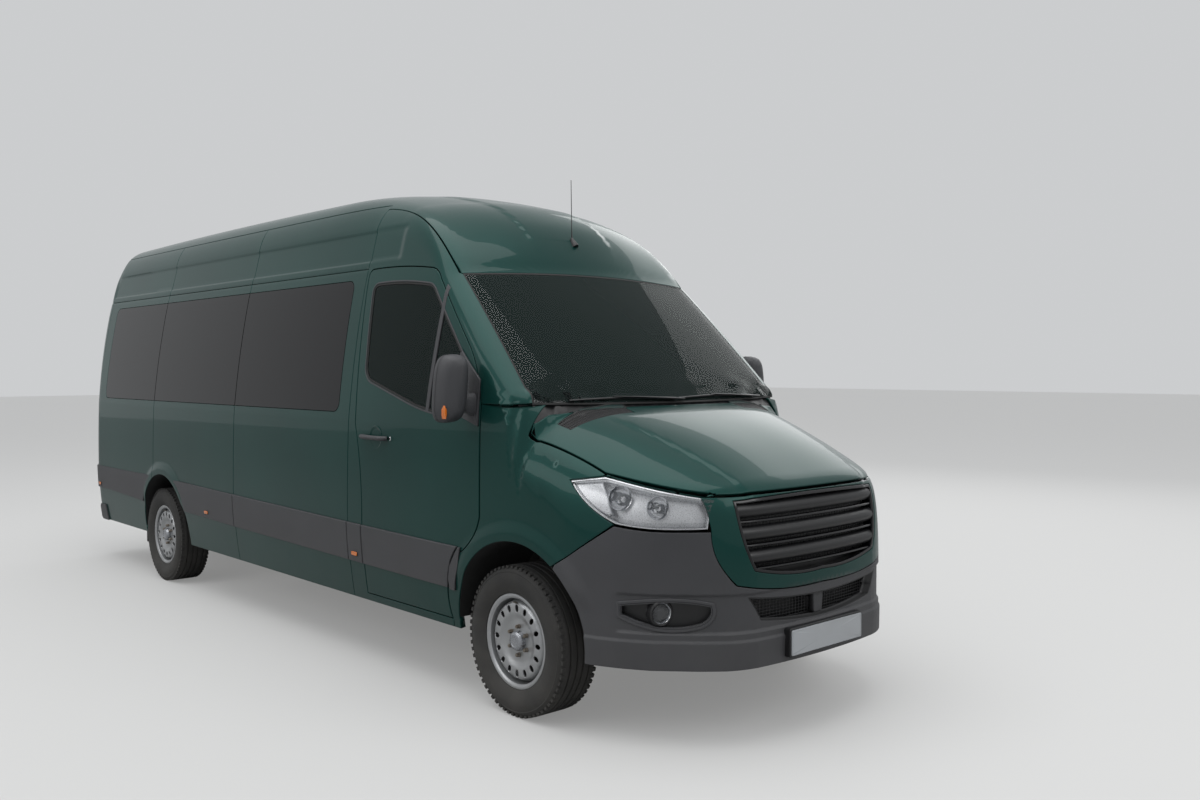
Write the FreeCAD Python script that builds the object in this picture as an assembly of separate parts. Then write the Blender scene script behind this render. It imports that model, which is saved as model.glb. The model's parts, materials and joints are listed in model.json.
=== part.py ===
import FreeCAD
import Part
import math
import os

os.makedirs("parts", exist_ok=True)
Vector = FreeCAD.Vector

# A long-wheelbase, high-roof minibus in millimetres, standing on its tyres at z = 0.
# +X points forward, +Y to the vehicle's left, +Z up.
# Outlines give x from the front axle, so front_axle_x moves them into the vehicle's frame.

# Driving dimensions of the vehicle
wheelbase = 4325.0
front_overhang = 1052.0
rear_overhang = 1590.0
length = wheelbase + front_overhang + rear_overhang
front_axle_x = length / 2 - front_overhang
rear_axle_x = front_axle_x - wheelbase
track = 1720.0
half_width = 1003.0
sill_z = 330.0
roof_z = 2692.0
nose_tip = 1030.0

# Walls, gaps and seats
door_depth = 45.0
seat_gap = 0.3
flange = 6.0
wall_depth = door_depth + seat_gap + flange
flange_width = 24.0
shut_gap = 5.0
rear_gap = 9.0
glass_depth = 5.5
moulding_proud = 11.0
body_rear = -rear_overhang - wheelbase + moulding_proud
recess_depth = 28.0
far = 9000.0

# Body lines that several panels share
waist_z = 1313.0
belt_seam_z = 2165.0
roof_seam_z = 2540.0
pillar_seam_x = -1459.0
second_bay_x = -2975.0
third_bay_x = -4430.0
rear_door_half = 898.0
rear_door_low = 470.0
rear_door_high = 2420.0
wing_top_z = 1440.0
door_low_z = 372.0

# Wheels
tyre_radius = 350.0
tyre_width = 235.0
rim_radius = 203.0
rim_lip_radius = 220.5
wheel_face = 62.0
vent_count = 16
vent_radius = 12.0
vent_circle = 152.0
bolt_count = 6
bolt_circle = 65.0
arch_radius = 440.0
arch_z = 375.0
front_arch_x = 10.0
rear_arch_x = -wheelbase + 80.0
arch_lip = 34.0

# Running gear
floor_z = 640.0
floor_thickness = 25.0
floor_half = 985.0
rail_y = 420.0
rail_width = 70.0
rail_low = 470.0
rail_high = floor_z - seat_gap
wheelhouse_inner = 530.0
wheelhouse_wall = 6.0
hub_radius = 60.0
disc_radius = 140.0
disc_thickness = 24.0
axle_tube_radius = 48.0

# Steering
kingpin_inboard = 70.0
kingpin_radius = 24.0
kingpin_low = 235.0
kingpin_high = 465.0
kingpin_y = track / 2 - kingpin_inboard


def corner(a, b):
    return (a, b, "corner")


def bend(a, b):
    return (a, b, "bend")


def outline_wire(points, place):
    """A closed wire of lines, with an arc through each bend from the corner before it to the one after."""
    spots = [place(a, b) for a, b, kind in points]
    kinds = [kind for a, b, kind in points]
    count = len(points)
    edges = []
    index = 0
    while index < count:
        after = (index + 1) % count
        if kinds[after] == "bend":
            edges.append(Part.Arc(spots[index], spots[after], spots[(index + 2) % count]).toShape())
            index += 2
        else:
            edges.append(Part.LineSegment(spots[index], spots[after]).toShape())
            index += 1
    return Part.Wire(edges)


def inset(points, depth):
    """The same outline moved inwards by depth, or outwards where depth is negative."""
    count = len(points)
    area = 0.0
    for index in range(count):
        a, b, kind = points[index]
        next_a, next_b, next_kind = points[(index + 1) % count]
        area += a * next_b - next_a * b
    side = math.copysign(1.0, area)
    moved = []
    for index in range(count):
        last_a, last_b, last_kind = points[index - 1]
        a, b, kind = points[index]
        next_a, next_b, next_kind = points[(index + 1) % count]
        before = math.hypot(a - last_a, b - last_b)
        after = math.hypot(next_a - a, next_b - b)
        normal_1 = (-side * (b - last_b) / before, side * (a - last_a) / before)
        normal_2 = (-side * (next_b - b) / after, side * (next_a - a) / after)
        lean = 1 + normal_1[0] * normal_2[0] + normal_1[1] * normal_2[1]
        moved_a = a + (normal_1[0] + normal_2[0]) / lean * depth
        moved_b = b + (normal_1[1] + normal_2[1]) / lean * depth
        moved.append((moved_a, moved_b, kind))
    return moved


def side_prism(points, low_y, high_y):
    """An outline of (x from the front axle, z), extruded across the vehicle."""
    wire = outline_wire(points, lambda a, b: Vector(front_axle_x + a, low_y, b))
    return Part.Face(wire).extrude(Vector(0, high_y - low_y, 0))


def front_prism(points, low_x, high_x):
    """An outline of (y, z), extruded along the vehicle between two x from the front axle."""
    wire = outline_wire(points, lambda a, b: Vector(front_axle_x + low_x, a, b))
    return Part.Face(wire).extrude(Vector(high_x - low_x, 0, 0))


def top_prism(points, low_z, high_z):
    """An outline of (x from the front axle, y), extruded upwards."""
    wire = outline_wire(points, lambda a, b: Vector(front_axle_x + a, b, low_z))
    return Part.Face(wire).extrude(Vector(0, 0, high_z - low_z))


def block(low_x, high_x, low_y, high_y, low_z, high_z):
    """A box between two corners, with x from the front axle."""
    corner_point = Vector(front_axle_x + low_x, low_y, low_z)
    return Part.makeBox(high_x - low_x, high_y - low_y, high_z - low_z, corner_point)


def rod(start, end, radius):
    """A round bar between two points with x from the front axle."""
    first = Vector(front_axle_x + start[0], start[1], start[2])
    last = Vector(front_axle_x + end[0], end[1], end[2])
    run = last - first
    return Part.makeCylinder(radius, run.Length, first, run)


def fuse_all(shapes):
    first = shapes[0]
    if len(shapes) == 1:
        return first
    return first.multiFuse(shapes[1:]).removeSplitter()


def to_left(shape):
    return shape.mirror(Vector(0, 0, 0), Vector(0, 1, 0))


def save(node, shapes):
    """Write a node's solids, which don't touch each other, to one file."""
    solids = []
    for shape in shapes:
        solids.extend(shape.Solids)
    shape = solids[0] if len(solids) == 1 else Part.makeCompound(solids)
    shape.exportStep("parts/" + node + ".step")
    print(node, len(solids), round(shape.Volume / 1e6, 2), shape.isValid())


# The body's outer surface: side profiles at stations across the vehicle, met by a cross-section and a plan.
# Columns: y, screen top x and z, screen foot x and z, bonnet rear x and z, bonnet middle x and z,
# bonnet front x and z, drop of the roof below its centre line, and x of the rear face ahead of body_rear.
stations = [
    (0, -560, 2125, 150, 1432, 158, 1424, 580, 1288, 959, 1084, 0, 0),
    (400, -578, 2120, 128, 1432, 136, 1420, 560, 1278, 942, 1082, 22, 2),
    (640, -605, 2110, 97, 1432, 105, 1400, 480, 1255, 868, 1062, 75, 7),
    (800, -632, 2101, 65, 1432, 80, 1345, 380, 1215, 690, 1040, 150, 18),
    (900, -672, 2088, 40, 1428, 50, 1270, 250, 1190, 480, 1040, 230, 40),
    (1010, -730, 2060, -20, 1410, -10, 1130, 140, 1090, 250, 1010, 340, 100),
]
screen_bulge = 7.0
nose_low_z = 560.0
nose_mid_z = 880.0
nose_low_out = 130.0
nose_mid_out = 76.0
roof_full_x = -2100.0


def side_profile(row):
    """The vehicle's outline seen from the side at one station, as (x from the front axle, z)."""
    y, top_x, top_z, foot_x, foot_z, rear_x, rear_z, mid_x, mid_z, front_x, front_z, drop, back = row
    centre_top_x = stations[0][1]
    shift = 0.5 * (top_x - centre_top_x)
    back_x = body_rear + back
    return [
        corner(back_x, sill_z),
        corner(front_x + nose_low_out - 30, sill_z),
        corner(front_x + nose_low_out, nose_low_z),
        bend(front_x + nose_mid_out, nose_mid_z),
        corner(front_x, front_z),
        bend(mid_x, mid_z),
        corner(rear_x, rear_z),
        corner(foot_x, foot_z),
        bend((top_x + foot_x) / 2 + screen_bulge, (top_z + foot_z) / 2 + screen_bulge),
        corner(top_x, top_z),
        bend(top_x - 240, top_z + 280 - 0.35 * drop),
        corner(-1172 + shift, roof_z - 124 - 0.75 * drop),
        bend(-1600, roof_z - 37 - 0.93 * drop),
        corner(roof_full_x, roof_z - drop),
        bend(-4000, roof_z + 6 - drop),
        corner(back_x + 200, roof_z - 12 - drop),
        bend(back_x + 85, roof_z - 60 - drop),
        corner(back_x + 32, roof_z - 252 - 0.7 * drop),
        bend(back_x + 5, 1850),
        corner(back_x, 1300),
    ]


# Half of the cross-section as (y, z), and half of the nose's plan as (x from the front axle, y).
half_section = [
    corner(955, 300),
    bend(990, 560),
    corner(half_width, 770),
    bend(1000, 1040),
    corner(991, waist_z),
    bend(930, 1791),
    corner(765, roof_seam_z),
    corner(690, 2850),
]
half_plan = [
    corner(-6100, 1100),
    corner(-900, 1100),
    corner(-700, 1025),
    bend(-150, 992),
    corner(300, 952),
    bend(612, 856),
    corner(865, 650),
    bend(950, 550),
    corner(nose_tip - 30, 430),
    bend(nose_tip - 8, 215),
    corner(nose_tip, 0),
]
cross_section = half_section + [(-a, b, kind) for a, b, kind in half_section[::-1]]
plan = half_plan + [(a, -b, kind) for a, b, kind in half_plan[-2::-1]]


def body_solid(depth):
    """The whole body as one solid, with its surface moved inwards by depth."""
    rows = stations[::-1] + stations[1:]
    places = [-row[0] for row in stations[::-1]] + [row[0] for row in stations[1:]]
    wires = []
    for y, row in zip(places, rows):
        points = inset(side_profile(row), depth)
        wires.append(outline_wire(points, lambda a, b: Vector(front_axle_x + a, y, b)))
    lengthways = Part.makeLoft(wires, True, False)
    across = front_prism(inset(cross_section, depth), -6200, 1400)
    round_nose = top_prism(inset(plan, depth), 200, 2900)
    return lengthways.common(across).common(round_nose)


# Outlines of the apertures. Side ones are (x from the front axle, z), front ones are (y, z).
door_outline = [
    corner(-1306, door_low_z),
    corner(-1306, 800),
    bend(-1325, 1060),
    corner(-1385, 1300),
    corner(-1438, 2110),
    bend(-1425, 2150),
    corner(-1390, belt_seam_z - 2),
    bend(-1090, 2158),
    corner(-800, 2132),
    bend(-738, 2108),
    corner(-700, 2068),
    corner(-385, 1740),
    bend(-270, 1570),
    corner(-235, 1400),
    corner(-235, 905),
    bend(-292, 790),
    corner(-425, 700),
    bend(-500, 560),
    corner(-483, door_low_z),
]
door_window = [
    corner(-1322, 1650),
    bend(-1306, 1576),
    corner(-1235, 1532),
    corner(-860, 1432),
    bend(-640, 1390),
    corner(-425, 1378),
    corner(-425, 1690),
    corner(-722, 2000),
    bend(-760, 2032),
    corner(-812, 2046),
    bend(-1060, 2070),
    corner(-1300, 2073),
    bend(-1342, 2058),
    corner(-1354, 2015),
]
quarter_bar = [corner(-700, 1300), corner(-640, 2100), corner(-612, 2100), corner(-672, 1300)]
sliding_door_outline = [
    corner(second_bay_x + 12, door_low_z),
    corner(pillar_seam_x - 12, door_low_z),
    corner(pillar_seam_x - 12, belt_seam_z - 4),
    corner(second_bay_x + 12, belt_seam_z - 4),
]
screen_outline = [
    corner(-868, 1446),
    bend(0, 1440),
    corner(868, 1446),
    corner(796, 2086),
    bend(0, 2112),
    corner(-796, 2086),
]
bonnet_side = [
    corner(52, 1300),
    bend(64, 1283),
    corner(100, 1274),
    bend(290, 1222),
    corner(470, 1150),
    corner(900, 1066),
    corner(1200, 1066),
    corner(1200, 1600),
    corner(52, 1600),
]
bonnet_plan = [corner(45, -1100), corner(45, -880), bend(163, 0), corner(45, 880), corner(45, 1100),
               corner(1300, 1100), corner(1300, -1100)]
headlamp_side = [
    corner(338, 1118),
    corner(480, 1139),
    corner(888, 1054),
    corner(888, 930),
    bend(720, 928),
    corner(575, 944),
    bend(450, 1015),
]
bumper_side = [
    corner(200, 300),
    corner(200, 731),
    corner(290, 745),
    bend(420, 830),
    corner(570, 938),
    bend(720, 922),
    corner(895, 922),
    corner(1300, 922),
    corner(1300, 300),
]
grille_front = [
    corner(-505, 1046),
    bend(-494, 900),
    corner(-438, 745),
    bend(-260, 712),
    corner(0, 706),
    bend(260, 712),
    corner(438, 745),
    bend(494, 900),
    corner(505, 1046),
    bend(0, 1056),
]
surround_front = [
    corner(-668, 1100),
    bend(-640, 850),
    corner(-520, 690),
    bend(-290, 655),
    corner(0, 650),
    bend(290, 655),
    corner(520, 690),
    bend(640, 850),
    corner(668, 1100),
]
intake_front = [
    corner(-470, 636),
    corner(-400, 530),
    bend(0, 500),
    corner(400, 530),
    corner(470, 636),
    bend(0, 606),
]
nose_side = [
    corner(-479, 250),
    corner(-479, door_low_z),
    bend(-496, 560),
    corner(-421, 703),
    bend(-288, 793),
    corner(-231, 905),
    corner(-231, wing_top_z),
    corner(1200, wing_top_z),
    corner(1200, 250),
]
roof_front = [
    corner(-790, roof_seam_z + 400),
    corner(-770, roof_seam_z),
    corner(-806, 2092),
    bend(0, 2118),
    corner(806, 2092),
    corner(770, roof_seam_z),
    corner(790, roof_seam_z + 400),
]
fog_front = [
    corner(-862, 560),
    bend(-770, 512),
    corner(-660, 520),
    bend(-612, 560),
    corner(-612, 606),
    bend(-700, 622),
    corner(-862, 602),
]


def rounded_rectangle(low_a, high_a, low_b, high_b, radius):
    """A rectangle with rounded corners, as outline points."""
    near = radius * (1 - math.sqrt(0.5))
    return [
        corner(low_a, low_b + radius),
        bend(low_a + near, low_b + near),
        corner(low_a + radius, low_b),
        corner(high_a - radius, low_b),
        bend(high_a - near, low_b + near),
        corner(high_a, low_b + radius),
        corner(high_a, high_b - radius),
        bend(high_a - near, high_b - near),
        corner(high_a - radius, high_b),
        corner(low_a + radius, high_b),
        bend(low_a + near, high_b - near),
        corner(low_a, high_b - radius),
    ]


window_low = 1362.0
window_high = 2108.0
window_radius = 60.0
pane_gap = 8.0
first_pane_front = -1580.0
last_pane_rear = -5550.0
# Columns: x of the pane's rear edge, x of its front edge.
right_panes = [
    (second_bay_x + pane_gap / 2, first_pane_front),
    (third_bay_x + pane_gap / 2, second_bay_x - pane_gap / 2),
    (last_pane_rear, third_bay_x - pane_gap / 2),
]
left_panes = [
    (third_bay_x + pane_gap / 2, second_bay_x - 30),
    (last_pane_rear, third_bay_x - pane_gap / 2),
]
sliding_pane = (second_bay_x + 45, first_pane_front)


def pane_outline(pane):
    return rounded_rectangle(pane[0], pane[1], window_low, window_high, window_radius)


rear_window = [
    corner(-813, 1460),
    bend(-796, 1418),
    corner(-755, 1400),
    corner(-120, 1400),
    bend(-79, 1417),
    corner(-62, 1458),
    corner(-62, 2040),
    bend(-77, 2075),
    corner(-112, 2090),
    corner(-680, 2090),
    bend(-718, 2076),
    corner(-742, 2040),
]
# The rear doors narrow upwards with the body, so that their edges stay inside its walls.
rear_door_side = [
    corner(rear_door_half, rear_door_low),
    corner(rear_door_half, 1500),
    bend(846, 1900),
    corner(740, rear_door_high - 50),
    bend(722, rear_door_high - 18),
    corner(690, rear_door_high),
]
rear_both = rear_door_side + [(-a, b, kind) for a, b, kind in rear_door_side[::-1]]
rear_door_outline = [corner(-rear_gap / 2, rear_door_high), corner(-rear_gap / 2, rear_door_low)]
rear_door_outline += [(-a, b, kind) for a, b, kind in rear_door_side]

outer = body_solid(0)
door_back = body_solid(door_depth)
seal_face = body_solid(door_depth + seat_gap)
inside = body_solid(wall_depth)
glass_back = body_solid(glass_depth)
glass_seat = body_solid(glass_depth + seat_gap)
skin = body_solid(-moulding_proud)
skin_seat = body_solid(-seat_gap)
recess_back = body_solid(recess_depth)
inside_seat = body_solid(wall_depth + seat_gap)

# The body is open underneath, within a lip along the sills and bumpers.
sill_lip = 12.0
under_half = half_section[0][0] - wall_depth
under_high = sill_z + wall_depth + 1
under_opening = top_prism(inset(plan, wall_depth + sill_lip), sill_z - 60, under_high)
under_opening = under_opening.common(block(body_rear + wall_depth + sill_lip, far, -under_half, under_half, 0, far))
hollow = inside.fuse(under_opening)


def layer(room, back):
    """What lies in a room between the body's outer surface and the solid behind it."""
    return room.common(outer).cut(back)


def raised(room):
    """A part laid on the paint within a room."""
    return room.common(skin).cut(skin_seat)


def cut_each(shape, cuts):
    for cut in cuts:
        shape = shape.cut(cut)
    return shape


def side_room(points, side, depth):
    """The space of a side aperture, its outline moved inwards by depth; side is -1 right, +1 left."""
    low = -1300 if side < 0 else 420
    high = -420 if side < 0 else 1300
    return side_prism(inset(points, depth), low, high)


def rear_room(points, depth):
    return front_prism(inset(points, depth), body_rear - 100, body_rear + 165)


def screen_room(depth):
    return front_prism(inset(screen_outline, depth), -760, 300)


def bonnet_room(depth):
    side = side_prism(inset(bonnet_side, depth), -1200, 1200)
    return side.common(top_prism(inset(bonnet_plan, depth), 900, 1700))


def door_cuts(room, inner_room):
    """An aperture down to the sealing flange, then the smaller hole within the flange."""
    return [room.cut(seal_face), inner_room]


def glass_cuts(room, inner_room):
    """A seat for bonded flush glass, then the smaller hole behind it."""
    return [room.cut(glass_seat), inner_room]


def pane_cuts(pane, side):
    outline = pane_outline(pane)
    return glass_cuts(side_room(outline, side, -seat_gap), side_room(outline, side, flange_width))


cab_door_cuts = []
for side in (-1, 1):
    cab_door_cuts += door_cuts(side_room(door_outline, side, 0), side_room(door_outline, side, flange_width))
sliding_cuts = door_cuts(side_room(sliding_door_outline, 1, 0), side_room(sliding_door_outline, 1, flange_width))
bonnet_cuts = door_cuts(bonnet_room(0), bonnet_room(flange_width))
rear_door_cuts = door_cuts(rear_room(rear_both, -shut_gap), rear_room(rear_both, flange_width))
screen_cuts = glass_cuts(screen_room(-seat_gap), screen_room(flange_width))

# Wheel arches, open from the side
arch_places = [front_arch_x, rear_arch_x]
arch_cuts = {}
for x in arch_places:
    for side in (-1, 1):
        low_y = min(side * 560, side * 1300)
        round_part = rod((x, low_y, arch_z), (x, low_y + 740, arch_z), arch_radius)
        foot = block(x - arch_radius + 3, x + arch_radius - 3, low_y, low_y + 740, 0, arch_z)
        arch_cuts[x, side] = round_part.fuse(foot)

# Tail lamps wrap the rear corners.
lamp_side = rounded_rectangle(body_rear - 60, body_rear + 78, 822, 1322, 24)
lamp_inner_y = -rear_door_half - 4
tail_lamp = layer(side_prism(lamp_side, -1300, lamp_inner_y), door_back)
lamp_cut = side_prism(inset(lamp_side, -seat_gap), -1300, lamp_inner_y + seat_gap).cut(seal_face)

# The body is split where its real panels meet.
cut_low = -100.0
roof_room = fuse_all([
    block(-far, far, -far, far, roof_seam_z, far),
    front_prism(roof_front, pillar_seam_x, 1000),
])
roof_panel = layer(roof_room, hollow)
rear_zone = block(-far, body_rear + 175, -rear_door_half - 2, rear_door_half + 2, cut_low, roof_seam_z)
rear_frame = cut_each(layer(rear_zone, hollow), rear_door_cuts + [lamp_cut, to_left(lamp_cut)])

side_zone = block(-far, pillar_seam_x, -far, 0, cut_low, roof_seam_z).cut(rear_zone)
right_cuts = [arch_cuts[rear_arch_x, -1], lamp_cut]
for pane in right_panes:
    right_cuts += pane_cuts(pane, -1)
left_cuts = [arch_cuts[rear_arch_x, 1], to_left(lamp_cut)] + sliding_cuts
for pane in left_panes:
    left_cuts += pane_cuts(pane, 1)
plain_side = layer(side_zone, hollow)
side_panel_right = cut_each(plain_side, right_cuts)
side_panel_left = cut_each(to_left(plain_side), left_cuts)

nose_room = side_prism(nose_side, -1300, 1300)
cab_zone = block(pillar_seam_x, far, -far, far, cut_low, 2600)
cab_frame = cut_each(layer(cab_zone, hollow), [roof_room, nose_room] + screen_cuts + cab_door_cuts)

headlamp_room = side_prism(headlamp_side, -1100, 1100)
surround_room = front_prism(surround_front, 880, 1300).cut(headlamp_room)
grille_room = front_prism(grille_front, 700, 1300)
bumper_room = side_prism(bumper_side, -1100, 1100)
intake_room = front_prism(intake_front, 700, 1300)
front_arches = [arch_cuts[front_arch_x, -1], arch_cuts[front_arch_x, 1]]

nose = cut_each(layer(nose_room, hollow), front_arches + bonnet_cuts + [headlamp_room, grille_room])
surround = nose.common(surround_room)
nose = nose.cut(surround_room)
front_wings = nose.cut(bumper_room)
fog_x = 742.0
fog_y = -758.0
fog_z = 572.0
fog_radius = 46.0
fog_hole = rod((600, fog_y, fog_z), (1000, fog_y, fog_z), fog_radius + seat_gap)
fog_recess = front_prism(fog_front, 400, 1300).cut(recess_back)
bumper_cuts = [intake_room, fog_recess, to_left(fog_recess), fog_hole, to_left(fog_hole)]
front_bumper = cut_each(nose.common(bumper_room), bumper_cuts)

# Arch lips stand proud of the paint, and so do the grey mouldings along the sides.
arch_lips = []
for x in arch_places:
    for side in (-1, 1):
        low_y = min(side * 700, side * 1300)
        wide = rod((x, low_y, arch_z), (x, low_y + 600, arch_z), arch_radius + arch_lip)
        round_hole = rod((x, low_y, arch_z), (x, low_y + 600, arch_z), arch_radius)
        upper = block(x - 600, x + 600, low_y, low_y + 600, 590, 1000)
        arch_lips.append(raised(wide.cut(round_hole).common(upper)))

save("roof_panel", [roof_panel])
save("rear_frame", [rear_frame])
save("side_panel_right", [side_panel_right])
save("side_panel_left", [side_panel_left])
save("cab_frame", [cab_frame])
save("front_wings", [front_wings])
save("grille_surround", [surround])
save("front_bumper", [front_bumper])
save("arch_lips", arch_lips)


def moulding_band(low_x, high_x, side):
    """A length of the grey side moulding; its edges rise gently towards the rear."""
    points = [
        corner(low_x, moulding_low_z - moulding_rise * low_x),
        corner(high_x, moulding_low_z - moulding_rise * high_x),
        corner(high_x, moulding_high_z - moulding_rise * high_x),
        corner(low_x, moulding_high_z - moulding_rise * low_x),
    ]
    return raised(side_room(points, side, 0))


moulding_low_z = 524.0
moulding_high_z = 738.0
moulding_rise = 0.0125
arch_band = arch_radius + arch_lip + seat_gap
# Columns: x of a body moulding's rear end, x of its front end, for one side.
right_mouldings = [
    (body_rear + 60, rear_arch_x - 420),
    (rear_arch_x + 420, second_bay_x - 1.5),
    (second_bay_x + 1.5, pillar_seam_x - 1.5),
    (pillar_seam_x + 1.5, -1306 - 1.5),
    (-483, -400),
]
left_mouldings = [
    (body_rear + 60, rear_arch_x - 420),
    (rear_arch_x + 420, second_bay_x + 6),
    (pillar_seam_x - 6, -1306 - 1.5),
    (-483, -400),
]
arch_rods = [rod((x, -1400, arch_z), (x, 1400, arch_z), arch_band) for x in arch_places]
body_mouldings = [moulding_band(low, high, -1) for low, high in right_mouldings]
body_mouldings += [moulding_band(low, high, 1) for low, high in left_mouldings]
door_rooms = [side_room(door_outline, -1, -1), side_room(door_outline, 1, -1)]
moulding_cuts = Part.makeCompound(arch_rods + door_rooms)
body_mouldings = [band.cut(moulding_cuts) for band in body_mouldings]

# Glass
save("windscreen", [layer(screen_room(0), glass_back)])
side_glass = [layer(side_room(pane_outline(pane), -1, 0), glass_back) for pane in right_panes]
side_glass += [layer(side_room(pane_outline(pane), 1, 0), glass_back) for pane in left_panes + [sliding_pane]]
save("side_glass", side_glass)

# Front doors
# The door leans in at the top, so its upper rear edge needs a wider gap to swing past the post.
top_relief = 2.5
relief_x = -1400.0
door_edge = []
for a, b, kind in inset(door_outline, shut_gap):
    door_edge.append((a + top_relief if a < relief_x else a, b, kind))
door_panel = layer(side_room(door_edge, -1, 0), door_back).cut(side_room(door_window, -1, 0))
door_glass = layer(side_room(door_window, -1, seat_gap), glass_back)
bar_room = side_prism(quarter_bar, -1300, -420).common(side_room(door_window, -1, seat_gap))
bar = layer(bar_room, recess_back)
door_glass = door_glass.cut(side_prism(inset(quarter_bar, -seat_gap), -1300, -420))
door_band = moulding_band(-1306 + shut_gap + 1, -460, -1).common(side_room(door_outline, -1, shut_gap + 1))
sail_outline = [corner(-425, 1384), corner(-240, 1330), corner(-240, 1560), corner(-425, 1712)]
sail_room = side_room(sail_outline, -1, 0).common(side_room(door_outline, -1, shut_gap + 4))
sail = raised(sail_room)

mirror_front = -238.0
mirror_rear = -345.0
mirror_low = 1356.0
mirror_high = 1672.0
mirror_inner = 1022.0
mirror_outer = 1172.5
mirror_arm_high = 1500.0


def mirror_section(x, grow):
    """The mirror housing's outline at one x, as (y, z)."""
    low = mirror_low + 12 - grow
    high = mirror_high - 12 + grow
    inner = -mirror_inner - 12 + grow
    outer_low = -mirror_outer + 12 - grow
    outer_high = outer_low + 28
    round_in = 38 + 0.7 * grow
    near = round_in * (1 - math.sqrt(0.5))
    points = [
        corner(inner, low + round_in),
        bend(inner - near, low + near),
        corner(inner - round_in, low),
        corner(outer_low + round_in, low),
        bend(outer_low + near, low + near),
        corner(outer_low, low + round_in),
        corner(outer_high, high - round_in),
        bend(outer_high + near, high - near),
        corner(outer_high + round_in, high),
        corner(inner - round_in, high),
        bend(inner - near, high - near),
        corner(inner, high - round_in),
    ]
    return outline_wire(points, lambda a, b: Vector(front_axle_x + x, a, b))


mirror_head = Part.makeLoft([mirror_section(mirror_rear, 4), mirror_section(-300, 12),
                             mirror_section(mirror_front, -20)], True, False)
glass_cut = block(mirror_rear - 1, mirror_rear + 9, -mirror_outer + 24, -mirror_inner - 24,
                  mirror_low + 34, mirror_high - 24)
mirror_glass = block(mirror_rear + 4, mirror_rear + 9 - seat_gap, -mirror_outer + 24 + seat_gap,
                     -mirror_inner - 24 - seat_gap, mirror_low + 34 + seat_gap, mirror_high - 24 - seat_gap)
mirror_arm = front_prism([corner(-960, 1395), corner(-1045, 1385), corner(-1045, 1470), corner(-960, 1500)],
                         -330, -262)
mirror = mirror_head.cut(glass_cut).fuse(mirror_arm.cut(skin))
indicator = mirror_head.common(block(-300, -200, -mirror_outer - 20, -mirror_outer + 52, 1340, 1445))
mirror = mirror.cut(indicator)

handle_z = 1240.0
handle_y = -1001.0
handle = rod((-1270, handle_y - 26, handle_z), (-1060, handle_y - 26, handle_z - 2), 15)
handle_feet = [rod((x, handle_y + 8, handle_z), (x, handle_y - 26, handle_z), 11) for x in (-1255, -1078)]
door_handle = fuse_all([handle] + handle_feet).cut(skin_seat)

door_sets = [
    ("front_door", "panel", [door_panel]),
    ("front_door", "glass", door_glass.Solids),
    ("front_door", "trim", [bar, door_band, door_handle]),
    ("mirror", "", [mirror, sail, mirror_glass, indicator]),
]
for name, part_name, shapes in door_sets:
    ending = "_" + part_name if part_name else ""
    save(name + "_right" + ending, shapes)
    save(name + "_left" + ending, [to_left(shape) for shape in shapes])

# Sliding door on the left
sliding_panel = layer(side_room(sliding_door_outline, 1, shut_gap), door_back)
save("sliding_door", [cut_each(sliding_panel, pane_cuts(sliding_pane, 1))])
sliding_band = moulding_band(second_bay_x + 18, pillar_seam_x - 18, 1)
sliding_handle = rod((-1640, 1002, handle_z - 60), (-1640, 1002, handle_z + 90), 14)
body_mouldings += [sliding_band, sliding_handle.cut(skin_seat)]
save("body_mouldings", body_mouldings)

# Rear doors
rear_door = layer(rear_room(rear_door_outline, 0), door_back)
rear_window_cuts = glass_cuts(rear_room(rear_window, -seat_gap), rear_room(rear_window, flange_width))
rear_door = cut_each(rear_door, rear_window_cuts)
rear_glass = layer(rear_room(rear_window, 0), glass_back)
save("rear_door_right", [rear_door])
save("rear_door_left", [to_left(rear_door)])
save("rear_door_right_glass", [rear_glass])
save("rear_door_left_glass", [to_left(rear_glass)])

# Bonnet
save("bonnet", [layer(bonnet_room(shut_gap), door_back)])

# Lamps at the front
headlamps = layer(side_prism(inset(headlamp_side, seat_gap), -1100, 1100), door_back)
fog_lamp = rod((600, fog_y, fog_z), (fog_x, fog_y, fog_z), fog_radius).cut(inside)
save("front_lamps", [headlamps, fog_lamp, to_left(fog_lamp)])

# Grille: broad slats with a slot between them, and the lower intake's bars
slot_inset = 20.0
# Columns: z of a slot's lower edge, z of its upper edge.
grille_slots = [(700, 757), (828, 858), (929, 959), (1030, 1060)]
slot_room = front_prism(inset(grille_front, slot_inset), 700, 1300)
slots = [slot_room.common(block(700, 1300, -600, 600, low, high)) for low, high in grille_slots]
upper_grille = front_prism(inset(grille_front, seat_gap), 700, 1300).common(glass_back).cut(door_back)
upper_grille = upper_grille.cut(Part.makeCompound(slots + [headlamp_room]))
bar_half = 6.0
cell_room = front_prism(inset(intake_front, 12), 700, 1300)
intake_bars = [block(600, 1400, -500, 500, z - bar_half, z + bar_half) for z in (557, 590)]
intake_bars += [block(600, 1400, y - bar_half, y + bar_half, 450, 700) for y in (-200, 0, 200)]
cells = cut_each(cell_room, intake_bars)
lower_grille = front_prism(inset(intake_front, seat_gap), 700, 1300).common(glass_back).cut(door_back)
save("grille", [upper_grille, lower_grille.cut(cells)])

# Front number plate on its holder
plate_width = 520.0
plate_height = 111.0
plate_z = 417.0
plate_thickness = 3.0
plate_front = front_overhang
holder_front = plate_front - plate_thickness - seat_gap
plate_holder = block(980, holder_front, -plate_width / 2 - 8, plate_width / 2 + 8,
                     plate_z - plate_height / 2 - 8, plate_z + plate_height / 2 + 8).cut(skin_seat)
front_plate = block(plate_front - plate_thickness, plate_front, -plate_width / 2, plate_width / 2,
                    plate_z - plate_height / 2, plate_z + plate_height / 2)
save("front_plate", [plate_holder, front_plate])

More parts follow.
